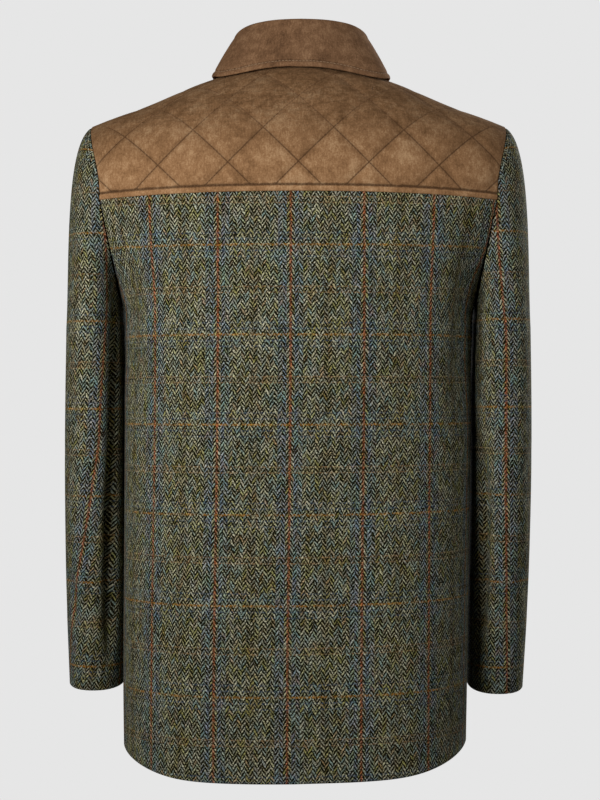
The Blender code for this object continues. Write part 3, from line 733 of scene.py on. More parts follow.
@dataclass(frozen=True)
class ShoulderForm:
    """Surface over the shoulders above the yoke seam, with the neck seam."""

    body: BodyForm
    slope: float = 0.395
    neck_point_z: float = -0.0035
    shoulder_point_x: float = 0.2378
    seam_y: float = 0.020
    ridge_round: float = 0.050
    ridge_hollow: float = 0.0028
    ridge_hollow_from: float = 0.110
    ridge_hollow_to: float = 0.235
    neck_half_width: float = 0.082
    neck_back_y: float = -0.070
    neck_mid_y: float = 0.004
    neck_front_y: float = 0.078
    back_fullness: float = 2.5
    front_full_centre: float = 1.32
    front_full_edge: float = 2.2
    armhole_top_curve: float = 4.0

    def seam_level(self, x: Number) -> Number:
        """Level of the yoke seam at x."""
        share = np.abs(x / self.body.armhole_seam_x) ** self.body.yoke_seam_curve
        return self.body.yoke_seam_z - self.body.yoke_seam_drop * share

    def ridge_level(self, x: Number) -> Number:
        """Level of the shoulder line.

        Args:
            x: Place across the coat.

        Returns:
            The level, with the slight hollow halfway along the shoulder.
        """
        along = (np.abs(x) - self.ridge_hollow_from) / (self.ridge_hollow_to - self.ridge_hollow_from)
        hollow = self.ridge_hollow * np.sin(math.pi * np.clip(along, 0.0, 1.0)) ** 2
        fall = self.slope * (self.neck_half_width - np.hypot(x, self.ridge_round))
        return self.neck_point_z + fall - hollow

    def fullness(self, x: Number, y: Number) -> Number:
        """How full the curve from the seam level up to the shoulder line is at a place."""
        rise = (self.front_full_edge - self.front_full_centre) * smooth(np.abs(x) / self.shoulder_point_x)
        return np.where(y < 0, self.back_fullness, self.front_full_centre + rise)

    def reach(self, x: Number, y: Number) -> Number:
        """Depth of the seam level's oval at x, on the side that y is on."""
        back, front = (np.abs(self.body.depth_at(x, self.body.seam_edge_z, facing)) for facing in Facing)
        return np.where(y < 0, back, front)

    def z(self, x: Number, y: Number) -> Number:
        """Level of the shoulder surface.

        Args:
            x: Place across the coat.
            y: Place from back to front.

        Returns:
            The level over that place.
        """
        base = self.seam_level(x)
        fullness = self.fullness(x, y)
        inside = np.maximum(0.0, 1.0 - np.minimum(1.0, np.abs(y) / self.reach(x, y)) ** fullness)
        return base + (self.ridge_level(x) - base) * inside ** (1.0 / fullness)

    def front_depth(self, x: float, z: float) -> float:
        """Depth of the front above the seam level.

        Args:
            x: Place across the coat.
            z: Level.

        Returns:
            The surface's y there.
        """
        base = self.seam_level(x)
        fullness = self.fullness(x, 1.0)
        share = (z - base) / (self.ridge_level(x) - base)
        return float(self.reach(x, 1.0) * (1.0 - share**fullness) ** (1.0 / fullness))

    def normal(self, x: float, y: float) -> Array:
        """Outward direction of the shoulder surface.

        Args:
            x: Place across the coat.
            y: Place from back to front.

        Returns:
            The direction over that place.
        """
        step = 0.001
        dx = (self.z(x + step, y) - self.z(x - step, y)) / (2 * step)
        dy = (self.z(x, y + step) - self.z(x, y - step)) / (2 * step)
        return unit(np.array((-float(dx), -float(dy), 1.0)))

    def edge_x(self, y: Number, facing: Facing) -> Number:
        """Armhole edge above the seam level.

        Args:
            y: Place from back to front.
            facing: Back or front.

        Returns:
            The edge's x there.
        """
        reach = abs(self.body.edge(self.body.seam_edge_z, facing)[1])
        narrow = self.shoulder_point_x - self.body.armhole_seam_x
        return self.shoulder_point_x - narrow * np.minimum(1.0, np.abs(y) / reach) ** self.armhole_top_curve

    def path(self, x_at: Callable[[Array], Number], y_start: float, y_end: float) -> Array:
        """Fine polyline over the shoulder.

        Args:
            x_at: Gives x for each y.
            y_start: Where it starts.
            y_end: Where it ends.

        Returns:
            Its points, closer together where the surface is steep.
        """
        share = np.linspace(0.0, 1.0, FINE)
        eased = 1.0 - np.cos(share * math.pi / 2) if abs(y_start) > abs(y_end) else share
        y = y_start + (y_end - y_start) * eased
        x = np.broadcast_to(x_at(y), y.shape)
        return np.stack((x, y, self.z(x, y)), axis=1)

    def neck_radius(self, y: Number) -> Number:
        """Half length of the neck seam's oval on the side that y is on."""
        behind = self.neck_mid_y - self.neck_back_y
        return np.where(y < self.neck_mid_y, behind, self.neck_front_y - self.neck_mid_y)

    def neck_y(self, x: Number, facing: Facing) -> Number:
        """Depth of the neck seam at x, on the back or the front."""
        share = np.sqrt(np.maximum(0.0, 1.0 - (x / self.neck_half_width) ** 2))
        return self.neck_mid_y + facing.value * self.neck_radius(facing.value) * share

    def from_neck(self, x: Array, y: Array) -> Array:
        """Rough distance from the neck seam, seen from above."""
        along = (y - self.neck_mid_y) / self.neck_radius(y)
        return (np.hypot(x / self.neck_half_width, along) - 1.0) * self.neck_half_width


# Shader nodes


class Value:
    """Number socket of a node tree, on which plain arithmetic adds Math nodes."""

    def __init__(self, tree: "NodeTree", socket: Socket) -> None:
        """Wrap a socket."""
        self.tree = tree
        self.socket = socket

    def math(self, operation: str, *others: Operand) -> "Value":
        """Result of a Math node on this value and others."""
        inputs = dict(enumerate((self, *others)))
        return self.tree.value("ShaderNodeMath", {"operation": operation}, inputs)

    def flipped(self, operation: str, other: Operand) -> "Value":
        """Result of a Math node with this value as its second input."""
        return self.tree.value("ShaderNodeMath", {"operation": operation}, {0: other, 1: self})

    def __add__(self, other: Operand) -> "Value":
        """Sum."""
        return self.math("ADD", other)

    __radd__ = __add__

    def __sub__(self, other: Operand) -> "Value":
        """Difference."""
        return self.math("SUBTRACT", other)

    def __rsub__(self, other: float) -> "Value":
        """Difference, reflected."""
        return self.flipped("SUBTRACT", other)

    def __mul__(self, other: Operand) -> "Value":
        """Product."""
        return self.math("MULTIPLY", other)

    __rmul__ = __mul__

    def __truediv__(self, other: Operand) -> "Value":
        """Quotient."""
        return self.math("DIVIDE", other)

    def __rtruediv__(self, other: float) -> "Value":
        """Quotient, reflected."""
        return self.flipped("DIVIDE", other)

    def __abs__(self) -> "Value":
        """Size without sign."""
        return self.math("ABSOLUTE")

    def floor(self) -> "Value":
        """Whole part."""
        return self.math("FLOOR")

    def fraction(self) -> "Value":
        """Part after the point."""
        return self.math("FRACT")

    def wave(self) -> "Value":
        """Wave from 0 to 1 with one crest for each unit."""
        return (self * (2 * math.pi)).math("SINE") * 0.5 + 0.5

    def ease(self, low: float, high: float) -> "Value":
        """Smooth step from 0 at low to 1 at high."""
        inputs = {"Value": self, "From Min": low, "From Max": high}
        return self.tree.value("ShaderNodeMapRange", {"interpolation_type": "SMOOTHSTEP"}, inputs)

    def near(self, half_width: float, soft: float) -> "Value":
        """1 where this value is within half_width of 0, fading over soft."""
        return 1.0 - abs(self).ease(half_width - soft / 2, half_width + soft / 2)

    def repeat(self, period: float) -> "Value":
        """Signed distance to the nearest multiple of a period."""
        return ((self / period + 0.5).fraction() - 0.5) * period


class NodeTree:
    """Nodes of a finish or of the surroundings."""

    def __init__(self, tree: bpy.types.NodeTree) -> None:
        """Keep the tree's nodes and links."""
        self.nodes = tree.nodes
        self.links = tree.links

    def add(self, kind: str, settings: dict, inputs: dict) -> bpy.types.Node:
        """Add a node.

        Args:
            kind: The node's type.
            settings: Its properties, set first; "stops" are a ramp's.
            inputs: Values or links by socket name or number.

        Returns:
            The new node.
        """
        node = self.nodes.new(kind)
        for key, setting in settings.items():
            if key != "stops":
                setattr(node, key, setting)
                continue
            stops = node.color_ramp.elements
            while len(stops) < len(setting):
                stops.new(0.5)
            for stop, (place, colour) in zip(stops, setting):
                stop.position, stop.color = place, (*colour, 1.0)
        for key, given in inputs.items():
            self.feed(node.inputs[key], given)
        return node

    def feed(self, socket: Socket, given: object) -> None:
        """Set a socket's value, or link it.

        Args:
            socket: The socket.
            given: A value, another socket or a wrapped one.
        """
        source = given.socket if isinstance(given, Value) else given
        if isinstance(source, Socket):
            self.links.new(source, socket)
        else:
            socket.default_value = source

    def value(self, kind: str, settings: dict, inputs: dict, output: int | str = 0) -> Value:
        """Add a node and wrap one of its outputs."""
        return Value(self, self.add(kind, settings, inputs).outputs[output])

    def split(self, kind: str, given: object) -> list[Value]:
        """The parts of a vector or a colour, by the type of node that separates them."""
        return [Value(self, output) for output in self.add(kind, {}, {0: given}).outputs]

    def map_place(self) -> tuple[Value, Value]:
        """The piece's own map in millimetres, across and along."""
        place = self.add("ShaderNodeUVMap", {"uv_map": MAP_NAME}, {}).outputs["UV"]
        return tuple(part * 1000.0 for part in self.split("ShaderNodeSeparateXYZ", place)[:2])

    def object_place(self) -> Socket:
        """Object coordinates, in metres."""
        return self.add("ShaderNodeTexCoord", {}, {}).outputs["Object"]

    def vector(self, x: Operand, y: Operand, z: Operand = 0.0) -> Socket:
        """Vector from three values."""
        return self.add("ShaderNodeCombineXYZ", {}, {"X": x, "Y": y, "Z": z}).outputs["Vector"]

    def noise(self, place: Socket, scale: float, detail: float, rough: float = 0.5) -> Value:
        """Soft noise about 0.5."""
        inputs = {"Vector": place, "Scale": scale, "Detail": detail, "Roughness": rough}
        return self.value("ShaderNodeTexNoise", {}, inputs, "Fac")

    def patches(self, across: Value, along: Value, patch: Patch) -> Value:
        """Soft noise about 0.5 on a piece's map."""
        place = self.vector(across * patch.across, along * patch.along, patch.layer)
        return self.noise(place, 1.0, patch.detail, patch.rough)

    def ramp(self, factor: Value, stops: Sequence[tuple]) -> Socket:
        """Colour that follows a factor."""
        return self.add("ShaderNodeValToRGB", {"stops": stops}, {"Fac": factor}).outputs["Color"]

    def mix(self, factor: Operand, first: object, second: object, blend: str = "MIX") -> Socket:
        """Mix two colours.

        Args:
            factor: Share of the second colour.
            first: A link or three numbers.
            second: A link or three numbers.
            blend: The way of mixing.

        Returns:
            The mixed colour's socket.
        """
        pair = [given if isinstance(given, Socket) else (*given, 1.0) for given in (first, second)]
        settings = {"data_type": "RGBA", "blend_type": blend}
        return self.add("ShaderNodeMix", settings, {0: factor, 6: pair[0], 7: pair[1]}).outputs[2]

    def scaled(self, colour: object, factor: Value) -> Socket:
        """Colour made lighter or darker by a factor."""
        grey = self.add("ShaderNodeCombineColor", {}, {"Red": factor, "Green": factor, "Blue": factor})
        return self.mix(1.0, colour, grey.outputs["Color"], "MULTIPLY")


class FinishTree(NodeTree):
    """Nodes of one finish, with its material and shader."""

    def __init__(self, name: str) -> None:
        """Start a material with a Principled shader.

        Args:
            name: The material's name.
        """
        self.material = bpy.data.materials.new(name)
        self.material.use_nodes = True
        super().__init__(self.material.node_tree)
        self.shader = self.nodes["Principled BSDF"]

    def finish(self, colour: object, rough: object, height: Value | None = None, depth: float = 0.0,
               **constants: object) -> Material:
        """Feed the shader.

        Args:
            colour: Base colour.
            rough: Roughness.
            height: Relief for the bump, or none.
            depth: Depth of the relief in metres.
            constants: Other sockets' fixed values, with _ for spaces.

        Returns:
            The finished material.
        """
        self.feed(self.shader.inputs["Base Color"], colour)
        self.feed(self.shader.inputs["Roughness"], rough)
        for name, constant in constants.items():
            self.shader.inputs[name.replace("_", " ")].default_value = constant
        if height is not None:
            bump = self.add("ShaderNodeBump", {}, {"Height": height, "Distance": depth, "Strength": 1.0})
            self.feed(self.shader.inputs["Normal"], bump.outputs["Normal"])
        return self.material


def srgb(red: int, green: int, blue: int) -> tuple[float, float, float]:
    """Linear colour from the usual 0 to 255 numbers."""
    shares = [part / 255.0 for part in (red, green, blue)]
    return tuple(s / 12.92 if s <= 0.04045 else ((s + 0.055) / 1.055) ** 2.4 for s in shares)


# Finishes


@dataclass(frozen=True)
class TweedFinish:
    """Wool herringbone in mixed yarns with a windowpane check; sizes in millimetres."""

    rib_width: float = 4.55
    twill_pitch: float = 5.52
    twill_rise: float = 6.2
    check_across: float = 81.0
    check_along: float = 98.8
    red_half_width: float = 1.5
    flanks: tuple = ((-6.6, 2.2, 0.60), (-11.8, 2.4, 0.44), (6.4, 2.2, 0.60), (11.4, 2.2, 0.40))
    mustard_half_width: float = 1.2
    beside: tuple = ((6.6, 0.9, 0.40), (13.0, 0.9, 0.36))
    faint_half_width: float = 4.4
    weak_at: float = 3.3
    weak_half_width: float = 0.7
    drift: Patch = Patch(0.05, 0.05)
    wobble: Patch = Patch(0.24, 0.24, detail=2.0)
    fuzz: Patch = Patch(0.52, 0.52, detail=2.0, rough=0.7)
    thick: Patch = Patch(0.13, 0.10, 25.0, 3.0, 0.6)
    grain: Patch = Patch(0.58, 0.58)
    fleck: Patch = Patch(0.55, 0.55, 22.0)
    uneven: Patch = Patch(0.09, 0.045, 80.0)
    broken: Patch = Patch(0.12, 0.12, 120.0, 2.0, 0.6)
    tint: Patch = Patch(0.11, 0.05, 15.0)
    mood: Patch = Patch(0.10, 0.045, 60.0)
    light_yarn: tuple = (
        (0.00, srgb(150, 148, 92)),
        (0.22, srgb(172, 171, 136)),
        (0.45, srgb(182, 179, 154)),
        (0.65, srgb(164, 167, 146)),
        (0.82, srgb(136, 155, 146)),
        (1.00, srgb(170, 148, 112)),
    )
    dark_yarn: tuple = (
        (0.00, srgb(26, 28, 4)),
        (0.40, srgb(20, 20, 4)),
        (0.70, srgb(30, 26, 6)),
        (1.00, srgb(46, 34, 10)),
    )
    red: tuple = srgb(174, 96, 60)
    blue: tuple = srgb(100, 122, 172)
    teal: tuple = srgb(118, 156, 154)
    slate: tuple = srgb(82, 106, 140)
    mustard: tuple = srgb(164, 112, 38)
    olive: tuple = srgb(146, 142, 72)
    mauve: tuple = srgb(148, 136, 146)
    brown: tuple = srgb(148, 108, 66)
    umber: tuple = srgb(118, 92, 44)
    fawn: tuple = srgb(176, 136, 92)
    least_shade: float = 0.12
    relief: float = 0.00035

    def build(self) -> Material:
        """Make the material.

        Returns:
            The material.
        """
        tree = FinishTree("herringbone_tweed")
        across, along = tree.map_place()
        bends = (self.drift, self.wobble, self.fuzz, self.thick)
        drift, wobble, fuzz, thick = (tree.patches(across, along, patch) - 0.5 for patch in bends)
        ribs = (across + drift * 1.6 + wobble * 0.9) / self.rib_width
        odd = (ribs.floor() / 2.0).fraction() * 2.0
        inside = ribs.fraction()
        slant = inside + odd * (1.0 - 2.0 * inside)
        shifted = (along + drift * 2.5 + wobble * 2.0) / self.twill_pitch
        twill = shifted + slant * (self.twill_rise / self.twill_pitch) + odd * 0.5
        pieces = tree.vector(ribs.floor(), (twill + 0.25).floor())
        own = tree.add("ShaderNodeTexWhiteNoise", {"noise_dimensions": "2D"}, {"Vector": pieces})
        tone, lift, depth = tree.split("ShaderNodeSeparateColor", own.outputs["Color"])
        wave = twill.wave() + fuzz * 1.9 + thick * 0.18 + (lift - 0.5) * 0.45
        warp, weft = tree.ramp(tone, self.light_yarn), tree.ramp(depth, self.dark_yarn)
        tint, mood = (tree.patches(across, along, patch) for patch in (self.tint, self.mood))
        other_yarns = (
            (tint.ease(0.56, 0.68) * 0.32, self.teal),
            ((1.0 - tint).ease(0.54, 0.66) * 0.36, self.olive),
            (mood.ease(0.58, 0.70) * 0.26, self.mauve),
            ((1.0 - mood).ease(0.58, 0.70) * 0.32, self.brown),
        )
        for share, yarn in other_yarns:
            warp = tree.mix(share, warp, yarn)
        warp, weft = self.checked(tree, across, along, warp, weft)
        colour = tree.mix(wave.ease(0.43, 0.77), weft, warp)
        grain = tree.patches(across, along, self.grain)
        fleck = tree.patches(across, along, self.fleck).ease(0.60, 0.74)
        shade = (0.99 + (grain - 0.5) * 5.0 + fleck * 0.50).math("MAXIMUM", self.least_shade)
        sheen = {"Sheen_Weight": 0.02, "Sheen_Roughness": 0.5, "Specular_IOR_Level": 0.08}
        return tree.finish(tree.scaled(colour, shade), 0.95, wave * 0.7 + grain * 0.3, self.relief, **sheen)

    def checked(self, tree: FinishTree, across: Value, along: Value, warp: Socket,
                weft: Socket) -> tuple:
        """Args:
            tree: The material's nodes.
            across: Place across the cloth.
            along: Place along the cloth.
            warp: Colour of the warp.
            weft: Colour of the weft.

        Returns:
            The sockets of the two colours.
        """
        uneven = tree.patches(across, along, self.uneven)
        patchy = uneven.ease(0.30, 0.62)
        broken = tree.patches(across, along, self.broken).ease(0.36, 0.62)
        from_red = across.repeat(self.check_across)
        from_faint = (across + self.check_across / 2).repeat(self.check_across)
        from_mustard = along.repeat(self.check_along)
        from_weak = (along + self.check_along / 2).repeat(self.check_along)
        red = from_red.near(self.red_half_width, 0.9)
        mustard = from_mustard.near(self.mustard_half_width, 0.9)
        faint = from_faint.near(self.faint_half_width, 4.0)
        between = from_weak.near(self.weak_at, 0.8)
        weak = (abs(from_weak) - self.weak_at).near(self.weak_half_width, 0.8)
        flank, beside = 0.0, 0.0
        for offset, half_width, strength in self.flanks:
            flank = (from_red - offset).near(half_width, 1.2) * strength + flank
        for offset, half_width, strength in self.beside:
            beside = (abs(from_mustard) - offset).near(half_width, 0.9) * strength + beside
        blue = tree.mix(uneven.ease(0.45, 0.60), self.blue, self.teal)
        warp = tree.mix(flank * (0.45 + patchy * 0.55), warp, blue)
        warp = tree.mix(faint * (0.14 + patchy * 0.22), warp, self.umber)
        warp = tree.mix(mustard * broken * 0.45, warp, self.mustard)
        warp = tree.mix(between * (0.06 + patchy * 0.16), warp, self.brown)
        warp = tree.mix(red * (0.46 + broken * 0.42), warp, self.red)
        weft = tree.mix(mustard * (0.08 + broken * 0.68), weft, self.mustard)
        weft = tree.mix(weak * (0.10 + patchy * 0.32), weft, self.fawn)
        weft = tree.mix(beside * (0.25 + patchy * 0.55), weft, self.slate)
        return warp, tree.mix(red * (0.06 + broken * 0.10), weft, self.red)


@dataclass(frozen=True)
class SuedeFinish:
    """Brushed suede cloth with a mottled nap and its sewn lines, whose colour also carries painted shade
    along the seam, the quilting and wrinkles, painted light and shade of puckers, a painted highlight on the
    band and painted shade towards the shoulders; sizes in millimetres.
    """

    name: str
    deep: tuple
    middle: tuple
    pale: tuple
    band: float
    quilt_pitch: float = 0.0
    quilt_first_crossing: float = 33.0
    # widths of the painted shade along the quilting lines and in the hollows beside them
    line_half_width: float = 0.75
    hollow_half_width: float = 3.0
    seam_half_width: float = 1.5
    fade_from: float = 58.0
    fade_to: float = 104.0
    strokes: Patch = Patch(0.50, 0.17, 0.0, 3.0, 0.7)
    # soft patches of painted light and shade for puckers beside the seam; they also wobble the seam's painted
    # shade
    painted_pucker: Patch = Patch(0.16, 0.05, 33.0, 2.0)
    # patches of painted shade for level wrinkles near the shoulders
    wrinkle_shade: Patch = Patch(0.040, 0.120, 9.0, 3.0, 0.6)
    nap_relief: float = 0.00022
    sheen: float = 0.14
    # painted shade: how far the colour darkens along the stitched groove of the seam
    seam_shade: float = 0.60
    # painted highlight: how much lighter the rolled band below the seam is painted
    band_highlight: float = 0.05

    def build(self) -> Material:
        """Make the material.

        Returns:
            The material.
        """
        tree = FinishTree(self.name)
        place = tree.object_place()
        across, up = tree.map_place()
        cloud = tree.noise(place, 24.0, 2.0)
        brushed = tree.noise(place, 95.0, 4.0, 0.7)
        nap = tree.noise(place, 620.0, 2.0, 0.6)
        strokes = tree.patches(across, up, self.strokes)
        painted_pucker = tree.patches(across, up, self.painted_pucker) - 0.5
        tone = cloud * 0.22 + brushed * 0.30 + strokes * 0.26 + nap * 0.22
        colour = tree.ramp(tone, ((0.36, self.deep), (0.50, self.middle), (0.64, self.pale)))
        # painted shade in the stitched groove along the seam, wobbled by the painted puckers
        seam = (up - self.band + painted_pucker * 1.6).near(self.seam_half_width, 1.4)
        beside_seam = (up - self.band).near(self.seam_half_width, 5.0)
        on_band = 1.0 - up.ease(self.band - 1.0, self.band)
        # painted light and shade of puckers beside the seam
        shade = (1.0 - seam * self.seam_shade) * (1.0 + beside_seam * painted_pucker * 0.55)
        # painted highlight on the rolled band below the seam
        shade = shade * (1.0 + self.band_highlight * on_band)
        if self.quilt_pitch > 0.0:
            shade = shade * self.quilted(tree, across, up)
        relief = nap * 0.6 + brushed * 0.2 + strokes * 0.2
        sheen = {"Sheen_Weight": self.sheen, "Sheen_Roughness": 0.45, "Sheen_Tint": (*self.pale, 1.0)}
        dull = {"Specular_IOR_Level": 0.06}
        return tree.finish(tree.scaled(colour, shade), 0.95, relief, self.nap_relief, **sheen, **dull)

    def quilted(self, tree: FinishTree, across: Value, up: Value) -> Value:
        """Painted shade along the quilting lines and in the hollows beside them, which gives way to painted
        shade of level wrinkles and to painted shade that darkens the colour towards the shoulders.

        Args:
            tree: The material's nodes.
            across: Place across the yoke.
            up: Height over its lower edge.

        Returns:
            The factor on the colour.
        """
        above = up - self.quilt_first_crossing
        slanted = 1.0 / math.sqrt(2.0)
        one, other = (way.repeat(self.quilt_pitch) * slanted for way in (across - above, across + above))
        on_quilt = up.ease(self.band, self.band + 1.5) * (1.0 - 0.85 * up.ease(self.fade_from, self.fade_to))
        line, hollow = (
            one.near(half_width, soft).math("MAXIMUM", other.near(half_width, soft))
            for half_width, soft in ((self.line_half_width, 0.9), (self.hollow_half_width, 5.0))
        )
        # painted shade along the quilting lines and in the hollows beside them
        sewn = 1.0 - on_quilt * (line * 0.36 + hollow * 0.14)
        # painted shade of level wrinkles, faded in towards the shoulders
        wrinkle_shade = (tree.patches(across, up, self.wrinkle_shade) - 0.5).near(0.035, 0.05)
        high = up.ease(self.fade_from - 10.0, self.fade_to)
        # painted shade: the colour darkens upwards from the band towards the shoulders
        darker = 1.12 - 0.42 * up.ease(self.band, self.fade_to + 10.0)
        return sewn * darker * (1.0 - high * wrinkle_shade * 0.22)


@dataclass(frozen=True)
class ThreadFinish:
    """Twisted sewing thread."""

    name: str
    colour: tuple
    ply: float = 1600.0
    relief: float = 0.0001

    def build(self) -> Material:
        """Make the material.

        Returns:
            The material.
        """
        tree = FinishTree(self.name)
        twist = tree.noise(tree.object_place(), self.ply, 1.0)
        colour = tree.scaled(self.colour, 0.75 + twist * 0.5)
        return tree.finish(colour, 0.7, twist, self.relief, Specular_IOR_Level=0.3)


@dataclass(frozen=True)
class HornFinish:
    """Brown horn with pale streaks, polished."""

    deep: tuple = srgb(40, 26, 17)
    middle: tuple = srgb(74, 48, 29)
    pale: tuple = srgb(122, 88, 54)
    relief: float = 0.00005

    def build(self) -> Material:
        """Make the material.

        Returns:
            The material.
        """
        tree = FinishTree("horn_button")
        drawn_out = {"Vector": tree.object_place(), "Scale": (1.0, 1.0, 0.25)}
        stretch = tree.add("ShaderNodeMapping", {}, drawn_out)
        streak = tree.noise(stretch.outputs["Vector"], 260.0, 4.0, 0.6)
        colour = tree.ramp(streak, ((0.35, self.deep), (0.52, self.middle), (0.72, self.pale)))
        return tree.finish(colour, 0.28 + streak * 0.2, streak, self.relief, Coat_Weight=0.2)


class Finishes:
    """Every finish of the coat, made once."""

    def __init__(self) -> None:
        """Make the materials."""
        self.tweed = TweedFinish().build()
        yoke_tones = srgb(118, 85, 55), srgb(164, 123, 86), srgb(206, 167, 126)
        collar_tones = srgb(92, 66, 46), srgb(134, 99, 71), srgb(174, 136, 102)
        self.yoke = SuedeFinish("quilted_suede", *yoke_tones, band=7.6, quilt_pitch=77.6).build()
        self.collar = SuedeFinish("collar_suede", *collar_tones, band=7.4, sheen=0.3, seam_shade=0.3).build()
        self.quilt_thread = ThreadFinish("quilting_thread", srgb(96, 60, 35)).build()
        self.collar_thread = ThreadFinish("topstitch_thread", srgb(184, 152, 120)).build()
        self.dark_thread = ThreadFinish("buttonhole_thread", srgb(58, 50, 34)).build()
        self.horn = HornFinish().build()


# Sub-assemblies of the coat


@dataclass
class CoatPart:
    """What every sub-assembly lies on and wears."""

    body: BodyForm
    shoulders: ShoulderForm
    finishes: Finishes


@dataclass
class TweedBody(CoatPart):
    """The back panel and the two fronts."""

    thickness: float = 0.0020
    hem_turn_up: float = 0.034
    hem_extra: float = 0.0014
    front_overlap: float = 0.022
    underlap_set_back: float = 0.0026
    underlap_margin: float = 0.002
    underlap_ease: float = 0.024
    seam_gap: float = 0.0003
    red_at: float = -0.0083
    mustard_at: float = -0.2122
    side_draw: float = 0.84
    yoke_tuck: float = 0.0009
    half_columns: int = 82
    skirt_and_armhole_rows: tuple = (150, 34)
    front_columns: int = 92
    chest_rows: int = 46
    back_folds: tuple = (
        Crease(-0.196, -0.180, -0.180, -0.400, 0.013, -0.0050),
        Crease(0.197, -0.165, 0.178, -0.430, 0.014, -0.0066),
        Crease(-0.118, -0.480, -0.128, -0.830, 0.034, 0.0030),
        Crease(0.104, -0.450, 0.120, -0.830, 0.036, 0.0034),
        Crease(0.020, -0.560, 0.012, -0.830, 0.040, -0.0024),
    )
    front_folds: tuple = (
        Crease(-0.176, -0.215, -0.150, -0.420, 0.017, -0.0030),
        Crease(0.178, -0.210, 0.156, -0.400, 0.017, -0.0030),
        Crease(-0.110, -0.500, -0.118, -0.830, 0.034, 0.0028),
        Crease(0.108, -0.480, 0.122, -0.830, 0.034, 0.0030),
    )
    back_creases: tuple = (
        Crease(-0.150, -0.190, -0.080, -0.300, 0.014, -0.0010),
        Crease(0.160, -0.185, 0.095, -0.310, 0.016, -0.0012),
        Crease(0.060, -0.470, 0.090, -0.640, 0.018, -0.0009),
        Crease(-0.060, -0.520, -0.075, -0.720, 0.020, 0.0008),
        Crease(-0.170, -0.420, -0.130, -0.520, 0.012, -0.0009),
    )
    front_creases: tuple = (
        Crease(-0.150, -0.190, -0.085, -0.300, 0.014, -0.0012),
        Crease(0.155, -0.190, 0.090, -0.290, 0.015, -0.0010),
        Crease(-0.070, -0.440, -0.095, -0.620, 0.018, -0.0010),
        Crease(0.075, -0.470, 0.085, -0.660, 0.020, 0.0009),
    )

    def wall(self, up: Array) -> Array:
        """Thickness of a panel's wall, with the turned-up hem."""
        return turned_up(up - up[:, :1], self.thickness, self.hem_extra, self.hem_turn_up)

    def weave(self, across: Array, up: Array) -> Array:
        """A panel's map, with the check's lines in place."""
        return np.stack((across - self.red_at, up - self.mustard_at), axis=-1)

    def build(self) -> None:
        """Make the back and both fronts."""
        self.build_back()
        self.build_fronts()

    def build_back(self) -> None:
        """One back panel from the yoke seam to the hem."""
        rows = []
        for half in self.body.rows(Facing.BACK, 0.0, self.skirt_and_armhole_rows):
            half = evenly(half, self.half_columns)
            rows.append(np.concatenate((half[:0:-1] * MIRROR, half)))
        grid = np.stack(rows, axis=1)
        up = grid[..., 2]
        across = np.stack([lengths(row) for row in rows], axis=1)
        across = across - across[self.half_columns]
        weave = self.weave(across + self.side_draw * across**3, up)
        hung = self.body.hung(grid)
        height = self.body.fold_height(self.back_folds, hung[..., 0], hung[..., 2])
        height += crease_height(self.back_creases, across, up)
        sheet = ClothSheet("back_panel_cloth", hung, weave, self.wall(up), top_tuck=self.yoke_tuck)
        sheet.moved(height).dress("back_panel", self.finishes.tweed, Slot.TWEED, Held.HUNG)

    def chest_path(self, seam_point: Array) -> Array:
        """Way up the front from the yoke seam's level to the neck or the shoulder seam.

        Args:
            seam_point: Where it starts, on that level.

        Returns:
            The points after the start, up the cloth.
        """
        x, y, _ = seam_point
        edge_x = self.body.edge(self.body.seam_edge_z, Facing.FRONT)[0]
        share = max(0.0, x / edge_x) ** self.body.hem_curve
        inside_neck = abs(x) < self.shoulders.neck_half_width
        y_top = float(self.shoulders.neck_y(x, Facing.FRONT)) if inside_neck else 0.0
        y_top = max(y_top, self.shoulders.seam_y + self.seam_gap)
        path = self.shoulders.path(
            lambda ys: x + share * (self.shoulders.edge_x(ys, Facing.FRONT) - edge_x), y, y_top
        )
        return evenly(path, self.chest_rows)

    def front_grid(self) -> tuple[Array, Array, Array]:
        """Grid of the front at +X, from its side to its front edge.

        Returns:
            Its points, the distance from the centre front and the length up the cloth.
        """
        rows = self.body.rows(Facing.FRONT, -self.front_overlap, self.skirt_and_armhole_rows)
        rows = [evenly(row, self.front_columns) for row in rows]
        across = np.stack([(lengths(row) - self.front_overlap)[::-1] for row in rows], axis=1)
        columns, ups = [], []
        for column in np.stack([row[::-1] for row in rows], axis=1):
            upper = self.chest_path(column[-1])
            columns.append(np.concatenate((column, upper[1:])))
            ups.append(np.concatenate((column[:, 2], column[-1, 2] + lengths(upper)[1:])))
        above = np.repeat(across[:, -1:], self.chest_rows, axis=1)
        return np.stack(columns), np.concatenate((across, above), axis=1), np.stack(ups)

    def set_back(self, x: Array, z: Array) -> Array:
        """How far the right front steps back under the left one."""
        edge_x = self.front_overlap + self.underlap_margin + self.body.swing(z)
        return self.underlap_set_back * (1.0 - smooth((x - edge_x) / self.underlap_ease))

    def build_fronts(self) -> None:
        """Two fronts; the wearer's left one laps over the other."""
        grid, across, up = self.front_grid()
        for side in (Side.RIGHT, Side.LEFT):
            if side is Side.LEFT:
                grid, across, up = (array[::-1] for array in (grid * MIRROR, -across, up))
            hung = self.body.hung(grid)
            x, z = hung[..., 0], hung[..., 2]
            height = self.body.fold_height(self.front_folds, x, z)
            height += crease_height(self.front_creases, grid[..., 0], grid[..., 2])
            if side is Side.RIGHT:
                height -= self.set_back(x, z)
            node = f"front_{side.value}"
            sheet = ClothSheet(f"{node}_cloth", hung, self.weave(across, up), self.wall(up))
            sheet.moved(height).dress(node, self.finishes.tweed, Slot.TWEED, Held.HUNG)


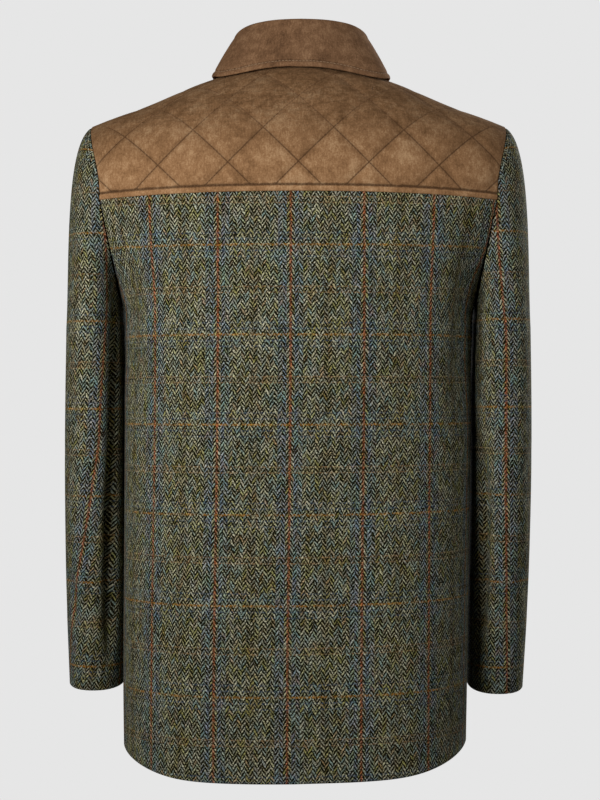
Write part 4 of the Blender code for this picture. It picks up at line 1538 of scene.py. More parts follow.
@dataclass
class QuiltedYoke(CoatPart):
    """Quilted suede yoke over the shoulders, with its sewing."""

    thickness: float = 0.0020
    proud: float = 0.0010
    pitch: float = 0.0776
    first_crossing: float = 0.033
    puff: float = 0.0027
    hollow: float = 0.0050
    band: float = 0.0076
    fade: float = 0.012
    stitch_hollow: float = 0.0013
    stitch_width: float = 0.0015
    edge_roll: float = 0.0007
    shoulder_from: float = -0.100
    shoulder_to: float = -0.045
    shoulder_share: float = 0.75
    seam_gap: float = 0.0003
    column_step: float = 0.0024
    band_rows: int = 10
    band_reach: float = 0.0135
    even_reach: float = 0.100
    even_rows: int = 40
    top_rows: int = 42
    neck_shares: tuple = (0.955, 0.975, 0.988, 0.996, 1.002, 1.010)
    padding: float = 0.35
    most_lines: int = 8
    line_points: int = 400
    clear_of_band: float = 0.0008
    clear_of_top: float = 0.006

    def places(self) -> Array:
        """Places of the columns across the yoke, closer at the sides of the neck.

        Returns:
            The columns' x, rising.
        """
        edge = self.body.edge(self.body.seam_edge_z, Facing.BACK)[0]
        count = int(edge / self.column_step - 0.5)
        even = np.arange(-count, count + 1) * self.column_step
        near_neck = np.array([share * self.shoulders.neck_half_width for share in self.neck_shares])
        apart = np.abs(np.abs(even)[:, None] - near_neck).min(axis=1) > 0.4 * self.column_step
        return np.sort(np.concatenate((even[apart], near_neck, -near_neck)))

    def column_path(self, x: float) -> Array:
        """Path over the shoulder from the yoke seam to the neck or the shoulder seam.

        Args:
            x: Place across the yoke.

        Returns:
            The path's points.
        """
        shoulders = self.shoulders
        start = float(self.body.depth_at(x, self.body.seam_edge_z, Facing.BACK))
        if abs(x) < shoulders.neck_half_width:
            return shoulders.path(lambda y: x, start, float(shoulders.neck_y(x, Facing.BACK)))
        back = shoulders.path(lambda y: x, start, 0.0)
        return np.concatenate((back, shoulders.path(lambda y: x, 0.0, shoulders.seam_y)[1:]))

    def edge_path(self) -> Array:
        """Path up the armhole edge at +X.

        Returns:
            The path's points.
        """
        shoulders = self.shoulders
        start = self.body.edge(self.body.seam_edge_z, Facing.BACK)[1]
        back = shoulders.path(lambda y: shoulders.edge_x(y, Facing.BACK), start, 0.0)
        front = shoulders.path(lambda y: shoulders.edge_x(y, Facing.FRONT), 0.0, shoulders.seam_y)
        return np.concatenate((back, front[1:])) - (self.seam_gap / 2, 0.0, 0.0)

    def grid(self) -> tuple[Array, Array]:
        """Lay out the yoke.

        Returns:
            Its points and the height of each above the lower edge.
        """
        edge = self.edge_path()
        paths = [edge * MIRROR, *map(self.column_path, self.places()), edge]
        low = np.linspace(self.seam_gap / 2, self.band_reach, self.band_rows + 1)
        middle = np.linspace(self.band_reach, self.even_reach, self.even_rows + 1)[1:]
        columns, heights = [], []
        for path in paths:
            top = lengths(path)[-1] - self.seam_gap / 2
            high = np.linspace(self.even_reach, top, self.top_rows + 1)[1:]
            heights.append(np.concatenate((low, middle, high)))
            columns.append(at_lengths(path, heights[-1]))
        return np.stack(columns), np.stack(heights)

    def relief(self, grid: Array, up: Array) -> Array:
        """Padding between the quilting lines, the flat band and its stitched hollow.

        Args:
            grid: The yoke's points.
            up: Height of each above the lower edge.

        Returns:
            How far each point stands out.
        """
        x = grid[..., 0]
        above = up - self.first_crossing
        height = np.full_like(x, self.puff)
        for place in (x - above, x + above):
            away = (np.mod(place / self.pitch + 0.5, 1.0) - 0.5) * self.pitch / math.sqrt(2.0)
            height = height * away**2 / (away**2 + self.hollow**2)
        number = np.arange(len(x))
        from_side = np.minimum(number, number[::-1])[:, None] * self.column_step
        from_neck = self.shoulders.from_neck(x, grid[..., 1])
        for inside in (up - self.band, up[:, -1:] - up, from_neck, from_side):
            height = height * smooth(inside / self.fade)
        turned = smooth((grid[..., 1] - self.shoulder_from) / (self.shoulder_to - self.shoulder_from))
        height = height * (1.0 - self.shoulder_share * turned)
        stitched = np.exp(-(((up - self.band) / self.stitch_width) ** 2))
        roll = self.edge_roll * np.sin(math.pi * np.clip(up / self.band, 0.0, 1.0))
        return self.proud + height + roll - self.stitch_hollow * stitched

    def build(self) -> None:
        """Make the yoke and its sewing."""
        grid, up = self.grid()
        weave = np.stack((grid[..., 0], up), axis=-1)
        relief = self.relief(grid, up)
        sheet = ClothSheet("quilted_yoke_cloth", grid, weave, self.thickness).moved(relief)
        sheet.wall = self.thickness - self.proud + relief
        piece = sheet.build(self.finishes.yoke, Slot.YOKE)
        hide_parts("back_yoke")
        self.sew(sheet, grid[:, 0, 0], up)

    def sew(self, sheet: ClothSheet, across: Array, up: Array) -> None:
        """Lay the quilting and the seam's topstitch on the yoke.

        Args:
            sheet: The finished yoke.
            across: Place of each column across the yoke.
            up: Height of each point above the lower edge.
        """
        quilting = StitchRow("quilting_stitches", radius=0.00022, height=0.00012)
        x = np.linspace(-across[-2], across[-2], self.line_points)
        turned = [np.interp(self.shoulder_to, y, height) for y, height in zip(sheet.points[..., 1], up)]
        top = np.interp(x, across, up[:, -1]) - self.clear_of_top
        limit = np.minimum(np.interp(x, across, turned), top)
        for slant in (-1.0, 1.0):
            for number in range(-self.most_lines, self.most_lines + 1):
                height = self.first_crossing + slant * (x - number * self.pitch)
                keep = (height > self.band + self.clear_of_band) & (height < limit)
                if keep.sum() > 4:
                    self.lay(quilting, sheet, across, up, x[keep], height[keep])
        quilting.build(self.finishes.quilt_thread, Slot.YOKE)
        seam = StitchRow("yoke_topstitch", length=0.0034, gap=0.0008)
        self.lay(seam, sheet, across, up, x, np.full_like(x, self.band))
        seam.build(self.finishes.quilt_thread, Slot.YOKE)

    def lay(self, row: StitchRow, sheet: ClothSheet, across: Array, up: Array, x: Array,
            height: Array) -> None:
        """Lay a line of stitches on the yoke.

        Args:
            row: The stitches that it joins.
            sheet: The finished yoke.
            across: Place of each column across the yoke.
            up: Height of each point above the lower edge.
            x: Places of the line across the yoke.
            height: Its heights above the lower edge.
        """
        column = np.interp(x, across, np.arange(len(across)))
        first = np.clip(np.floor(column).astype(int), 0, len(across) - 2)
        share = (column - first)[:, None]
        found = []
        for near in (first, first + 1):
            rows = np.array([np.interp(h, up[c], np.arange(up.shape[1])) for h, c in zip(height, near)])
            found.append(sheet.at(near.astype(float), rows))
        points, normals = (one * (1.0 - share) + other * share for one, other in zip(*found))
        row.along(points, unit(normals))


@dataclass
class Sleeves(CoatPart):
    """Two-piece tailored sleeves."""

    thickness: float = 0.0020
    cuff_turn_up: float = 0.032
    cuff_extra: float = 0.0014
    fullness: float = 2.25
    inner_fullness: float = 2.0
    fore_seam: float = math.radians(-112.0)
    cap_start: float = 0.45
    cap_end: float = 0.85
    cap_spread: float = 0.012
    cap_fall_top: float = 0.40
    cap_fall_under: float = 1.60
    cap_row_curve: float = 1.25
    cuff_tilt: float = 0.09
    left_cuff_swing: float = -0.0055
    right_cuff_drop: float = 0.004
    set_out: float = 0.0009
    set_out_share: float = 0.09
    rim_share: float = 0.3
    columns: dict = field(default_factory=lambda: {Half.TOP: 72, Half.UNDER: 50})
    cap_rows: int = 40
    rows: int = 128
    map_levels: int = 200
    map_past_cuff: float = 0.01
    map_past_cap: float = 0.22
    map_ease: float = 0.20
    mustard_at: dict = field(default_factory=lambda: {Side.LEFT: -0.1950, Side.RIGHT: -0.1925})
    rings: tuple = (
        Ring(-0.300, 0.2360, 0.0323, -0.0020, 0.0770),
        Ring(-0.380, 0.2354, 0.0339, -0.0040, 0.0730),
        Ring(-0.450, 0.2354, 0.0340, -0.0045, 0.0690),
        Ring(-0.530, 0.2346, 0.0340, 0.0000, 0.0640),
        Ring(-0.620, 0.2333, 0.0338, 0.0130, 0.0585),
        Ring(-0.713, 0.2313, 0.0323, 0.0300, 0.0540),
    )
    hind_seam: tuple = (
        Knot(-0.300, 94.0), Knot(-0.470, 91.4), Knot(-0.565, 85.3), Knot(-0.670, 76.0),
        Knot(-0.713, 72.0),
    )
    left_stripe: tuple = (
        Knot(-0.100, 0.0940), Knot(-0.187, 0.0979), Knot(-0.230, 0.1024), Knot(-0.290, 0.1017),
        Knot(-0.315, 0.0987), Knot(-0.383, 0.0909), Knot(-0.438, 0.0856), Knot(-0.474, 0.0781),
        Knot(-0.533, 0.0658), Knot(-0.602, 0.0479), Knot(-0.713, 0.0197),
    )
    right_stripe: tuple = (
        Knot(-0.100, 0.0932), Knot(-0.176, 0.0926), Knot(-0.203, 0.0919), Knot(-0.259, 0.0866),
        Knot(-0.304, 0.0822), Knot(-0.383, 0.0791), Knot(-0.473, 0.0751), Knot(-0.550, 0.0690),
        Knot(-0.713, 0.0542),
    )
    creases: tuple = (
        Crease(0.020, -0.430, 0.075, -0.480, 0.009, -0.0014),
        Crease(0.030, -0.500, 0.085, -0.475, 0.008, -0.0011),
        Crease(0.100, -0.300, 0.075, -0.390, 0.010, -0.0012),
        Crease(0.055, -0.560, 0.020, -0.640, 0.011, -0.0013),
        Crease(0.090, -0.520, 0.060, -0.610, 0.012, 0.0012),
        Crease(-0.060, -0.440, -0.020, -0.490, 0.009, -0.0014),
        Crease(-0.070, -0.500, -0.030, -0.470, 0.008, -0.0010),
        Crease(0.050, -0.150, 0.065, -0.260, 0.010, -0.0010),
        Crease(-0.050, -0.150, -0.060, -0.250, 0.010, -0.0010),
    )
    left_creases: tuple = (
        Crease(0.144, -0.220, 0.108, -0.580, 0.0095, -0.0115),
        Crease(0.120, -0.430, 0.092, -0.715, 0.0095, -0.0125),
        Crease(0.062, -0.330, 0.070, -0.470, 0.0090, -0.0016),
        Crease(0.040, -0.560, 0.066, -0.680, 0.0085, -0.0018),
    )
    right_creases: tuple = (
        Crease(0.126, -0.400, 0.100, -0.712, 0.0130, -0.0110),
        Crease(0.092, -0.250, 0.078, -0.420, 0.0085, -0.0015),
        Crease(0.044, -0.540, 0.068, -0.650, 0.0090, -0.0016),
    )

    def armhole_half(self, facing: Facing) -> Array:
        """Fine polyline down one side of the armhole.

        Args:
            facing: Back or front.

        Returns:
            Its points, from the shoulder line to the underarm.
        """
        reach = self.body.edge(self.body.seam_edge_z, facing)[1]
        upper = self.shoulders.path(lambda y: self.shoulders.edge_x(y, facing), reach, 0.0)[::-1]
        levels = np.linspace(self.body.seam_edge_z, self.body.underarm_z, FINE)[1:]
        lower = np.array([(*self.body.edge(z, facing), z) for z in levels])
        return np.concatenate((upper, lower))

    def hind_turn(self, z: Number) -> Number:
        """Turn of the hind seam from the outermost line on a level."""
        return np.radians(follow(self.hind_seam, z))

    def turn_at(self, half: Half, share: float, z: Number) -> Number:
        """Turn from the outermost line round one half of the sleeve.

        Args:
            half: Top or under.
            share: Share of the way round it.
            z: Level.

        Returns:
            The turn there.
        """
        hind = self.hind_turn(z)
        if half is Half.TOP:
            return hind + (self.fore_seam - hind) * share
        return self.fore_seam + (hind - 2 * math.pi - self.fore_seam) * share

    def ring_points(self, z: Array, turn: Number) -> Array:
        """Points of the sleeve on levels.

        Args:
            z: The levels.
            turn: Turn on each; 0 is outermost, a quarter turn rearmost.

        Returns:
            The points.
        """
        inner_front = np.clip(-np.cos(turn), 0.0, None) * np.clip(-np.sin(turn), 0.0, None)
        fullness = self.fullness + self.inner_fullness * 2 * inner_front
        ring = Ring(z, *(follow(self.rings, z, column) for column in Ring._fields[1:]))
        x = ring.centre_x + ring.half_width * rounded(np.cos(turn), fullness)
        forward = -ring.half_depth * rounded(np.sin(turn), fullness)
        low_from, low_to = self.rings[-2].z, self.rings[-1].z
        low = smooth((low_from - z) / (low_from - low_to))
        return np.stack((x, ring.centre_y + forward, z + self.cuff_tilt * forward * low), axis=1)

    def column(self, half: Half, share: float, armhole: dict[Facing, Array]) -> Array:
        """Points up the sleeve from the cuff to the armhole.

        Args:
            half: Top or under.
            share: Share of the way round it.
            armhole: Both sides of the armhole.

        Returns:
            The column's points.
        """
        top_z, low_z = self.rings[0].z, self.rings[-1].z
        turn = math.remainder(float(self.turn_at(half, share, top_z)), 2 * math.pi)
        seam = armhole[Facing.BACK if turn >= 0 else Facing.FRONT]
        start = at_lengths(seam, np.array([abs(turn) / math.pi * lengths(seam)[-1]]))[0]
        end = self.ring_points(np.array([top_z]), turn)[0]
        span = np.linalg.norm(end - start)
        under = 0.5 - 0.5 * math.cos(turn)
        fall = self.cap_fall_top + (self.cap_fall_under - self.cap_fall_top) * under
        out = unit(np.array((1.0, 0.0, -fall)))
        down = np.array((self.cap_spread * max(0.0, math.cos(turn)), 0.0, -self.cap_end * span))
        t = (np.linspace(0.0, 1.0, self.cap_rows + 1) ** self.cap_row_curve)[:, None]
        cap = (
            start * (1 + 2 * t) * (1 - t) ** 2
            + out * self.cap_start * span * t * (1 - t) ** 2
            + end * t * t * (3 - 2 * t)
            + down * t * t * (t - 1)
        )
        cap = cap + out * self.set_out * (1.0 - smooth(t / self.set_out_share))
        levels = np.linspace(top_z, low_z, self.rows + 1)[1:]
        turns = self.turn_at(half, share, levels)
        return np.concatenate((cap, self.ring_points(levels, turns)))[::-1]

    def build(self) -> None:
        """Make both sleeves, each in a top and an under half."""
        armhole = {facing: self.armhole_half(facing) for facing in Facing}
        grids = {}
        for half, count in self.columns.items():
            shares = np.linspace(0.0, 1.0, count + 1)
            grids[half] = np.stack([self.column(half, share, armhole) for share in shares])
        around, eased = self.around(grids, 0.0), self.around(grids, self.map_ease)
        for half, grid in grids.items():
            for side in Side:
                self.build_half(side, half, grid, around[half], eased[half])

    def around(self, grids: dict[Half, Array], ease: float) -> dict[Half, Array]:
        """Distance of each point from the outermost line, rearwards along its level.

        Args:
            grids: Points of each half.
            ease: Share of the distance that counts only across the coat.

        Returns:
            The distances of each half's points.
        """
        lowest, highest = self.rings[-1].z - self.map_past_cuff, self.rings[0].z + self.map_past_cap
        levels = np.linspace(lowest, highest, self.map_levels)
        runs = {}
        for half, grid in grids.items():
            places = [[np.interp(levels, column[:, 2], column[:, k]) for k in (0, 1)] for column in grid]
            steps = np.diff(np.array(places), axis=0)
            sizes = (1.0 - ease) * np.hypot(steps[:, 0], steps[:, 1]) + ease * np.abs(steps[:, 0])
            runs[half] = np.concatenate((np.zeros((1, len(levels))), np.cumsum(sizes, axis=0)))
        top, under = runs[Half.TOP], runs[Half.UNDER]
        hind = self.hind_turn(levels)
        outermost = hind / (hind - self.fore_seam) * self.columns[Half.TOP]
        back = np.array([np.interp(at, np.arange(len(top)), top[:, k]) for k, at in enumerate(outermost)])
        runs = {Half.TOP: back - top, Half.UNDER: back + under[-1] - under}
        return {
            half: np.stack([np.interp(column[:, 2], levels, row) for column, row in zip(grids[half], run)])
            for half, run in runs.items()
        }

    def length_up(self, grid: Array) -> Array:
        """Level of each point below the cap, then the length up the cap.

        Args:
            grid: Points of a half.

        Returns:
            The lengths along the cloth.
        """
        steps = np.linalg.norm(np.diff(grid, axis=1), axis=2)
        run = np.concatenate((np.zeros((len(grid), 1)), np.cumsum(steps, axis=1)), axis=1)
        cap = self.rings[0].z + run - run[:, [self.rows]]
        return np.where(np.arange(grid.shape[1]) > self.rows, cap, grid[..., 2])

    def build_half(self, side: Side, half: Half, grid: Array, around: Array, eased: Array) -> None:
        """Make one half of one sleeve.

        Args:
            side: Which sleeve.
            half: Top or under.
            grid: Points of the half at +X.
            around: Distance of each point from the outermost line, for the creases.
            eased: The same as the cloth's map takes it.
        """
        right = side is Side.RIGHT
        up = grid[..., 2]
        stripe = follow(self.right_stripe if right else self.left_stripe, up)
        own_creases = self.right_creases if right else self.left_creases
        height = crease_height(self.creases + own_creases, around, up)
        wall = turned_up(up - up[:, :1], self.thickness, self.cuff_extra, self.cuff_turn_up)
        weave = np.stack((eased - stripe, self.length_up(grid) - self.mustard_at[side]), axis=-1)
        low = np.clip((self.rings[0].z - up) / (self.rings[0].z - self.rings[-1].z), 0.0, None) ** 2
        if right:
            points = grid - low[..., None] * (0.0, 0.0, self.right_cuff_drop)
        else:
            points = (grid - low[..., None] * (self.left_cuff_swing, 0.0, 0.0)) * MIRROR
            points, weave, height, wall = (array[::-1] for array in (points, weave, height, wall))
        node = f"sleeve_{side.value}_{half.value}"
        sheet = ClothSheet(f"{node}_cloth", points, weave, wall, rim_share=self.rim_share)
        sheet.moved(height).dress(node, self.finishes.tweed, Slot.TWEED, Held.HUNG)


@dataclass
class Collar(CoatPart):
    """Suede collar: a stand round the neck and a leaf folded over it."""

    thickness: float = 0.0022
    rim_steps: int = 6
    end: float = math.radians(171.0)
    columns: int = 200
    stand_rows: int = 18
    underlap_from: float = 0.0185
    underlap_full: float = 0.0222
    underlap_to: float = 0.048
    underlap_set_back: float = 0.0026
    leaf_rows: int = 64
    fold_half_width: float = 0.0755
    fold_back_y: float = -0.0625
    fold_front_y: float = 0.0745
    foot_lift: float = 0.0019
    fold_clearance: float = 0.0009
    lean: float = 0.003
    leaf_bulge: float = 0.0006
    leaf_lift_back: float = 0.0064
    leaf_lift_front: float = 0.0040
    fall_steps: int = 6
    stitch_in: float = 0.0074
    stitch_hollow: float = 0.0009
    stitch_width: float = 0.0014
    stitch_points: int = 900
    stitch_end_columns: float = 3.0
    edge_roll: float = 0.0005
    fold_line: tuple = (
        Knot(0.0, 0.0456), Knot(30.0, 0.0450), Knot(60.0, 0.0418), Knot(90.0, 0.0335),
        Knot(120.0, 0.0140), Knot(150.0, -0.0130), Knot(171.0, -0.0310),
    )
    leaf_edge: tuple = (
        LeafEdge(0.0, 0.0000, -0.0815),
        LeafEdge(25.0, 0.0430, -0.0765),
        LeafEdge(48.0, 0.0780, -0.0690),
        LeafEdge(63.0, 0.0945, -0.0570),
        LeafEdge(76.0, 0.1005, -0.0340),
        LeafEdge(92.0, 0.1010, 0.0000),
        LeafEdge(120.0, 0.0985, 0.0450),
        LeafEdge(146.0, 0.0850, 0.0800),
        LeafEdge(171.0, 0.0520, 0.1020),
    )
    bends: tuple = (
        Bend(-1.00, 1.00, 1.00),
        Bend(0.00, 1.00, 1.33),
        Bend(1.10, 0.75, 0.00),
        Bend(1.75, -0.60, 0.00),
    )

    def round_neck(self, turn: float, half: float, back_y: float, front_y: float) -> tuple[float, float]:
        """Place on an oval round the neck at a turn from the centre back, seen from above."""
        middle, ahead = self.shoulders.neck_mid_y, -math.cos(turn)
        return half * math.sin(turn), middle + ahead * (middle - back_y if ahead < 0 else front_y - middle)

    def fold_point(self, turn: float) -> Array:
        """Top of the collar stand."""
        x, y = self.round_neck(turn, self.fold_half_width, self.fold_back_y, self.fold_front_y)
        return np.array((x + self.lean, y, float(follow(self.fold_line, abs(math.degrees(turn))))))

    def stand_column(self, turn: float) -> Array:
        """Points up the stand from the neck seam to the fold.

        Args:
            turn: Turn from the centre back.

        Returns:
            The column's points; its foot follows the step where one front laps over the other.
        """
        shoulders = self.shoulders
        x, y = self.round_neck(turn, shoulders.neck_half_width, shoulders.neck_back_y, shoulders.neck_front_y)
        foot = np.array((x, y, float(shoulders.z(x, y)) + self.foot_lift))
        if y > shoulders.neck_mid_y:
            sunk = smooth((x - self.underlap_from) / (self.underlap_full - self.underlap_from))
            sunk = sunk * smooth((self.underlap_to - x) / (self.underlap_to - self.underlap_full))
            foot = foot - shoulders.normal(x, y) * float(sunk) * self.underlap_set_back
        return evenly(np.array((foot, self.fold_point(turn))), self.stand_rows)

    def leaf_column(self, turn: float) -> Array:
        """Points up the leaf, from its lower edge over the fold.

        Args:
            turn: Turn from the centre back.

        Returns:
            The column's points.
        """
        fold = self.fold_point(turn)
        out = np.array((math.sin(turn), -math.cos(turn), 0.0))
        up = np.array((0.0, 0.0, 1.0))
        bend = []
        for step in self.bends:
            rise = step.up * self.thickness + step.clearances * self.fold_clearance
            bend.append(fold + out * step.out * self.thickness + up * rise)
        degrees = abs(math.degrees(turn))
        x = math.copysign(float(follow(self.leaf_edge, degrees, "x")), turn) + self.lean
        y = float(follow(self.leaf_edge, degrees, "y"))
        share = float(smooth(abs(turn) / self.end))
        lift = self.leaf_lift_back + (self.leaf_lift_front - self.leaf_lift_back) * share
        edge = np.array((x, y, float(self.shoulders.z(x, y)))) + self.shoulders.normal(x, y) * lift
        fall = []
        for t in np.linspace(0.0, 1.0, self.fall_steps + 1)[1:]:
            bulge = self.leaf_bulge * math.sin(math.pi * t)
            fall.append(bend[-1] + (edge - bend[-1]) * t + (out + up) * bulge)
        return flowing(np.array((bend + fall)[::-1]), self.leaf_rows)

    def build(self) -> None:
        """Make the stand, the leaf and the leaf's topstitch."""
        turns = np.linspace(-self.end, self.end, self.columns + 1)
        for name, column in (("stand", self.stand_column), ("leaf", self.leaf_column)):
            grid = np.stack([column(turn) for turn in turns])
            run = np.stack([lengths(points) for points in grid])
            weave = np.stack((np.broadcast_to(lengths(grid[:, 0])[:, None], run.shape), run), axis=-1)
            sheet = ClothSheet(f"collar_{name}_cloth", grid, weave, self.thickness, self.rim_steps)
            if name == "leaf":
                sheet = sheet.moved(self.edge_relief(run))
            held_by = ("back_yoke", "front_left", "front_right")
            sheet.dress(f"collar_{name}", self.finishes.collar, Slot.COLLAR, Held.FOLDED, held_by)
        self.sew(sheet)

    def edge_relief(self, run: Array) -> Array:
        """Rolled edge of the leaf and the stitched hollow above it, by the height over the edge."""
        roll = self.edge_roll * np.sin(math.pi * np.clip(run / self.stitch_in, 0.0, 1.0))
        return roll - self.stitch_hollow * np.exp(-(((run - self.stitch_in) / self.stitch_width) ** 2))

    def sew(self, leaf: ClothSheet) -> None:
        """Topstitch the leaf along its lower edge.

        Args:
            leaf: The finished leaf.
        """
        row = StitchRow("collar_topstitch", length=0.0032, gap=0.0007)
        last = len(leaf.points) - 1
        across = np.linspace(self.stitch_end_columns, last - self.stitch_end_columns, self.stitch_points)
        heights = [np.interp(self.stitch_in, lengths(line), np.arange(len(line))) for line in leaf.points]
        row.along(*leaf.at(across, np.array([heights[int(round(place))] for place in across])))
        row.build(self.finishes.collar_thread, Slot.COLLAR)


@dataclass
class FrontButtons(CoatPart):
    """Horn buttons with crossed thread, and the buttonholes they pass through."""

    levels: tuple = (-0.125, -0.235, -0.345, -0.455, -0.565)
    radius: float = 0.0110
    thick: float = 0.0040
    rim: float = 0.0024
    inner_rim: float = 0.00144
    dish: float = 0.0009
    soft_edge: float = 0.0007
    hole_radius: float = 0.0010
    hole_out: float = 0.0022
    hole_sides: int = 16
    thread_radius: float = 0.00042
    thread_rise: float = 0.0006
    slit_half_length: float = 0.0105
    slit_round: float = 0.0016
    slit_cord: float = 0.0007
    slit_flatness: float = 0.6
    slit_aside: float = -0.0085
    seam_gap: float = 0.0003
    vertices: int = 56

    def front_y(self, z: float) -> float:
        """Depth of the overlapping front on the centre line and a level."""
        high = z > self.body.yoke_seam_z
        return self.shoulders.front_depth(0.0, z) if high else float(self.body.depth_at(0.0, z, Facing.FRONT))

    def seat(self, level: float) -> tuple[Vector, Vector]:
        """Find a button's seat on the front.

        Args:
            level: The button's level.

        Returns:
            Its place and the direction it faces.
        """
        rise = self.front_y(level + self.radius) - self.front_y(level - self.radius)
        normal = Vector((0.0, 1.0, -rise / (2 * self.radius))).normalized()
        place = Vector((float(self.body.swing(level)), self.front_y(level), level))
        return place + normal * self.seam_gap, normal

    def turned_disc(self, number: int) -> Piece:
        """A dished, bevelled disc with four thread holes, lying at the origin.

        Args:
            number: The button's number.

        Returns:
            The disc.
        """
        deselect_all()
        bpy.ops.mesh.primitive_cylinder_add(
            vertices=self.vertices, radius=self.radius, depth=self.thick, location=(0, 0, self.thick / 2)
        )
        disc = bpy.context.object
        disc.name = f"button_{number}_horn"
        bpy.ops.object.mode_set(mode="EDIT")
        bpy.ops.mesh.select_mode(type="FACE")
        bpy.ops.mesh.select_all(action="DESELECT")
        bpy.ops.object.mode_set(mode="OBJECT")
        for face in disc.data.polygons:
            face.select = face.normal.z > 0.9
        bpy.ops.object.mode_set(mode="EDIT")
        bpy.ops.mesh.inset(thickness=self.rim)
        bpy.ops.mesh.inset(thickness=self.inner_rim)
        bpy.ops.transform.translate(value=(0, 0, -self.dish))
        bpy.ops.object.mode_set(mode="OBJECT")
        bevel = disc.modifiers.new("soft_edges", "BEVEL")
        bevel.width = self.soft_edge
        bevel.segments = 3
        bevel.limit_method = "ANGLE"
        apply_modifiers(disc)
        for turn in range(4):
            self.drill(disc, math.radians(45.0 + 90.0 * turn))
        make_active(disc)
        bpy.ops.object.shade_smooth_by_angle(angle=math.radians(40.0))
        return disc

    def drill(self, disc: Piece, turn: float) -> None:
        """Cut one thread hole through a button.

        Args:
            disc: The button.
            turn: Where the hole is, round the middle.
        """
        deselect_all()
        place = (self.hole_out * math.cos(turn), self.hole_out * math.sin(turn), self.thick / 2)
        bpy.ops.mesh.primitive_cylinder_add(
            vertices=self.hole_sides, radius=self.hole_radius, depth=3 * self.thick, location=place
        )
        drill = bpy.context.object
        cut = disc.modifiers.new("thread_hole", "BOOLEAN")
        cut.operation = "DIFFERENCE"
        cut.object = drill
        apply_modifiers(disc)
        bpy.data.objects.remove(drill, do_unlink=True)

    def cross_thread(self, number: int) -> Piece:
        """Two crossed loops of thread through the holes, lying at the origin.

        Args:
            number: The button's number.

        Returns:
            The thread.
        """
        reach = self.hole_out / math.sqrt(2.0)
        name = f"button_{number}_thread"
        row = StitchRow(name, 2 * self.hole_out, radius=self.thread_radius, height=self.thread_rise)
        share = np.linspace(-1.0, 1.0, 9)
        top = np.full_like(share, self.thick - self.dish)
        for slant in (-1.0, 1.0):
            for offset in (-self.thread_radius, self.thread_radius):
                x, y = share * reach - slant * offset, share * slant * reach + offset
                row.along(np.stack((x, y, top), axis=1), np.tile((0.0, 0.0, 1.0), (len(top), 1)))
        return row.build(self.finishes.dark_thread, Slot.HORN)

    def buttonhole(self, number: int, level: float) -> None:
        """Corded slit in the overlapping front, from the button towards the side.

        Args:
            number: The button's number.
            level: Its level.
        """
        seat, normal = self.seat(level)
        deselect_all()
        bpy.ops.mesh.primitive_torus_add(
            major_radius=self.slit_round, minor_radius=self.slit_cord, major_segments=40, minor_segments=8
        )
        hole = bpy.context.object
        hole.name = f"buttonhole_{number}"
        for vert in hole.data.vertices:
            vert.co.x += math.copysign(self.slit_half_length, vert.co.x) if abs(vert.co.x) > 1e-7 else 0.0
            vert.co.z *= self.slit_flatness
        hole.rotation_euler = normal.to_track_quat("Z", "Y").to_euler()
        hole.location = seat + Vector((self.slit_aside, 0.0, 0.0))
        apply_place(hole)
        for vert in hole.data.vertices:
            x, _, z = vert.co
            if z <= self.body.yoke_seam_z:
                middle = float(self.body.swing(z))
                vert.co.y += float(self.body.depth_at(x - middle, z, Facing.FRONT)) - self.front_y(z)
        bpy.ops.object.shade_smooth()
        hole.data.materials.append(self.finishes.dark_thread)
        finish_piece(hole, Slot.TWEED)

    def build(self) -> None:
        """Make every button with its thread and buttonhole."""
        for number, level in enumerate(self.levels, start=1):
            seat, normal = self.seat(level)
            disc = self.turned_disc(number)
            disc.data.materials.append(self.finishes.horn)
            thread = self.cross_thread(number)
            for piece in (disc, thread):
                piece.rotation_euler = normal.to_track_quat("Z", "Y").to_euler()
                piece.location = seat
                apply_place(piece)
            finish_piece(disc, Slot.HORN)
            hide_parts(f"button_{number}")
            self.buttonhole(number, level)


# Studio


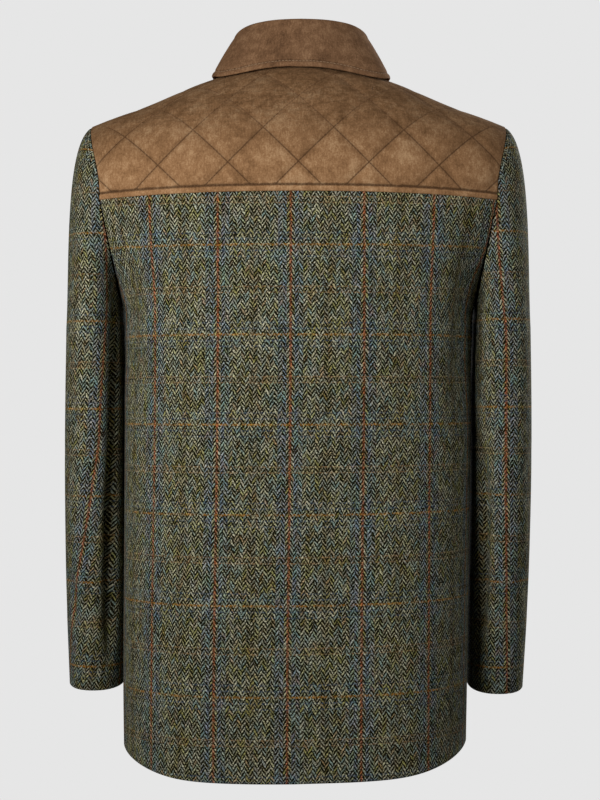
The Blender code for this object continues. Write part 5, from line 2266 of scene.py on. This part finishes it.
@dataclass
class Studio:
    """Camera at the photo's angle, pale floor and soft light."""

    distance: float = 2.2
    camera_x: float = 0.00175
    camera_z: float = -0.3827
    view_height: float = 0.932
    sensor: float = 36.0
    floor_z: float = -1.45
    floor_radius: float = 2.4
    floor_clear: float = 0.35
    floor_gone: float = 0.95
    floor_glow: float = 0.35
    floor_grey: float = 0.75
    room_fill: float = 0.035
    backdrop: tuple = srgb(230, 230, 230)
    lamps: tuple = (
        Lamp("key", (-0.84, -1.44, -0.05), (0.0, 0.0, -0.12), 0.7, 7.3, (1.0, 0.99, 0.97), 115.0),
        Lamp("fill", (2.2, -1.5, -0.10), (0.0, 0.0, -0.25), 1.2, 6.0, (0.97, 0.98, 1.0)),
        Lamp("top", (1.1, -0.5, 1.3), (0.1, -0.05, -0.1), 1.2, 5.0),
        Lamp("front", (0.0, 3.0, 0.3), (0.0, 0.0, -0.35), 1.6, 30.0),
        Lamp("front_side", (1.7, 2.2, 0.5), (0.0, 0.0, -0.35), 1.4, 45.0),
    )

    def camera(self) -> None:
        """Level camera behind the coat."""
        data = bpy.data.cameras.new("photo_camera")
        data.sensor_width = self.sensor
        data.lens = self.sensor * self.distance / self.view_height
        camera = bpy.data.objects.new("photo_camera", data)
        camera.location = (self.camera_x, -self.distance, self.camera_z)
        camera.rotation_euler = (math.pi / 2, 0.0, 0.0)
        bpy.context.scene.collection.objects.link(camera)
        bpy.context.scene.camera = camera

    def light(self, lamp: Lamp) -> None:
        """Set up one lamp, aimed at its target.

        Args:
            lamp: The lamp.
        """
        data = bpy.data.lights.new(lamp.name, "AREA")
        data.size = lamp.size
        data.spread = math.radians(lamp.spread)
        data.energy = lamp.power
        data.color = lamp.colour
        light = bpy.data.objects.new(lamp.name, data)
        light.location = lamp.place
        aim = Vector(lamp.target) - Vector(lamp.place)
        light.rotation_euler = aim.to_track_quat("-Z", "Y").to_euler()
        light.visible_camera = False
        bpy.context.scene.collection.objects.link(light)

    def world(self) -> None:
        """Pale surroundings: seen as the backdrop, and giving a soft fill."""
        world = bpy.data.worlds.new("pale_room")
        bpy.context.scene.world = world
        world.use_nodes = True
        world.node_tree.nodes.clear()
        tree = NodeTree(world.node_tree)
        seen = tree.add("ShaderNodeBackground", {}, {"Color": (*self.backdrop, 1.0)})
        fill = tree.add("ShaderNodeBackground", {}, {"Color": WHITE, "Strength": self.room_fill})
        ray = tree.add("ShaderNodeLightPath", {}, {})
        sides = {1: fill.outputs["Background"], 2: seen.outputs["Background"]}
        mix = tree.add("ShaderNodeMixShader", {}, {"Fac": ray.outputs["Is Camera Ray"], **sides})
        tree.add("ShaderNodeOutputWorld", {}, {"Surface": mix.outputs["Shader"]})

    def floor(self) -> None:
        """Pale floor that fades into the backdrop."""
        deselect_all()
        bpy.ops.mesh.primitive_circle_add(
            vertices=96, radius=self.floor_radius, fill_type="NGON", location=(0, 0, self.floor_z)
        )
        floor = bpy.context.object
        floor.name = "pale_floor"
        apply_place(floor)
        tree = FinishTree("pale_floor")
        x, y, _ = tree.split("ShaderNodeSeparateXYZ", tree.object_place())
        away = (x * x + y * y).math("SQRT") / self.floor_radius
        glow = {"Emission_Color": WHITE, "Emission_Strength": self.floor_glow}
        material = tree.finish((*(self.floor_grey,) * 3, 1.0), 0.9, **glow)
        tree.feed(tree.shader.inputs["Alpha"], 1.0 - away.ease(self.floor_clear, self.floor_gone))
        floor.data.materials.append(material)
        floor.visible_diffuse = False

    def build(self) -> None:
        """Set up the camera, the lights and the floor."""
        bpy.context.scene.view_settings.view_transform = "Standard"
        self.camera()
        self.world()
        for lamp in self.lamps:
            self.light(lamp)
        self.floor()


def main() -> None:
    """Build every piece of the coat and the studio round it."""
    logging.basicConfig(level=logging.INFO, format="%(name)s %(message)s")
    deselect_all()
    finishes = Finishes()
    body = BodyForm()
    shoulders = ShoulderForm(body)
    for part in (TweedBody, QuiltedYoke, Sleeves, Collar, FrontButtons):
        part(body, shoulders, finishes).build()
    Studio().build()


if __name__ == "__main__":
    main()
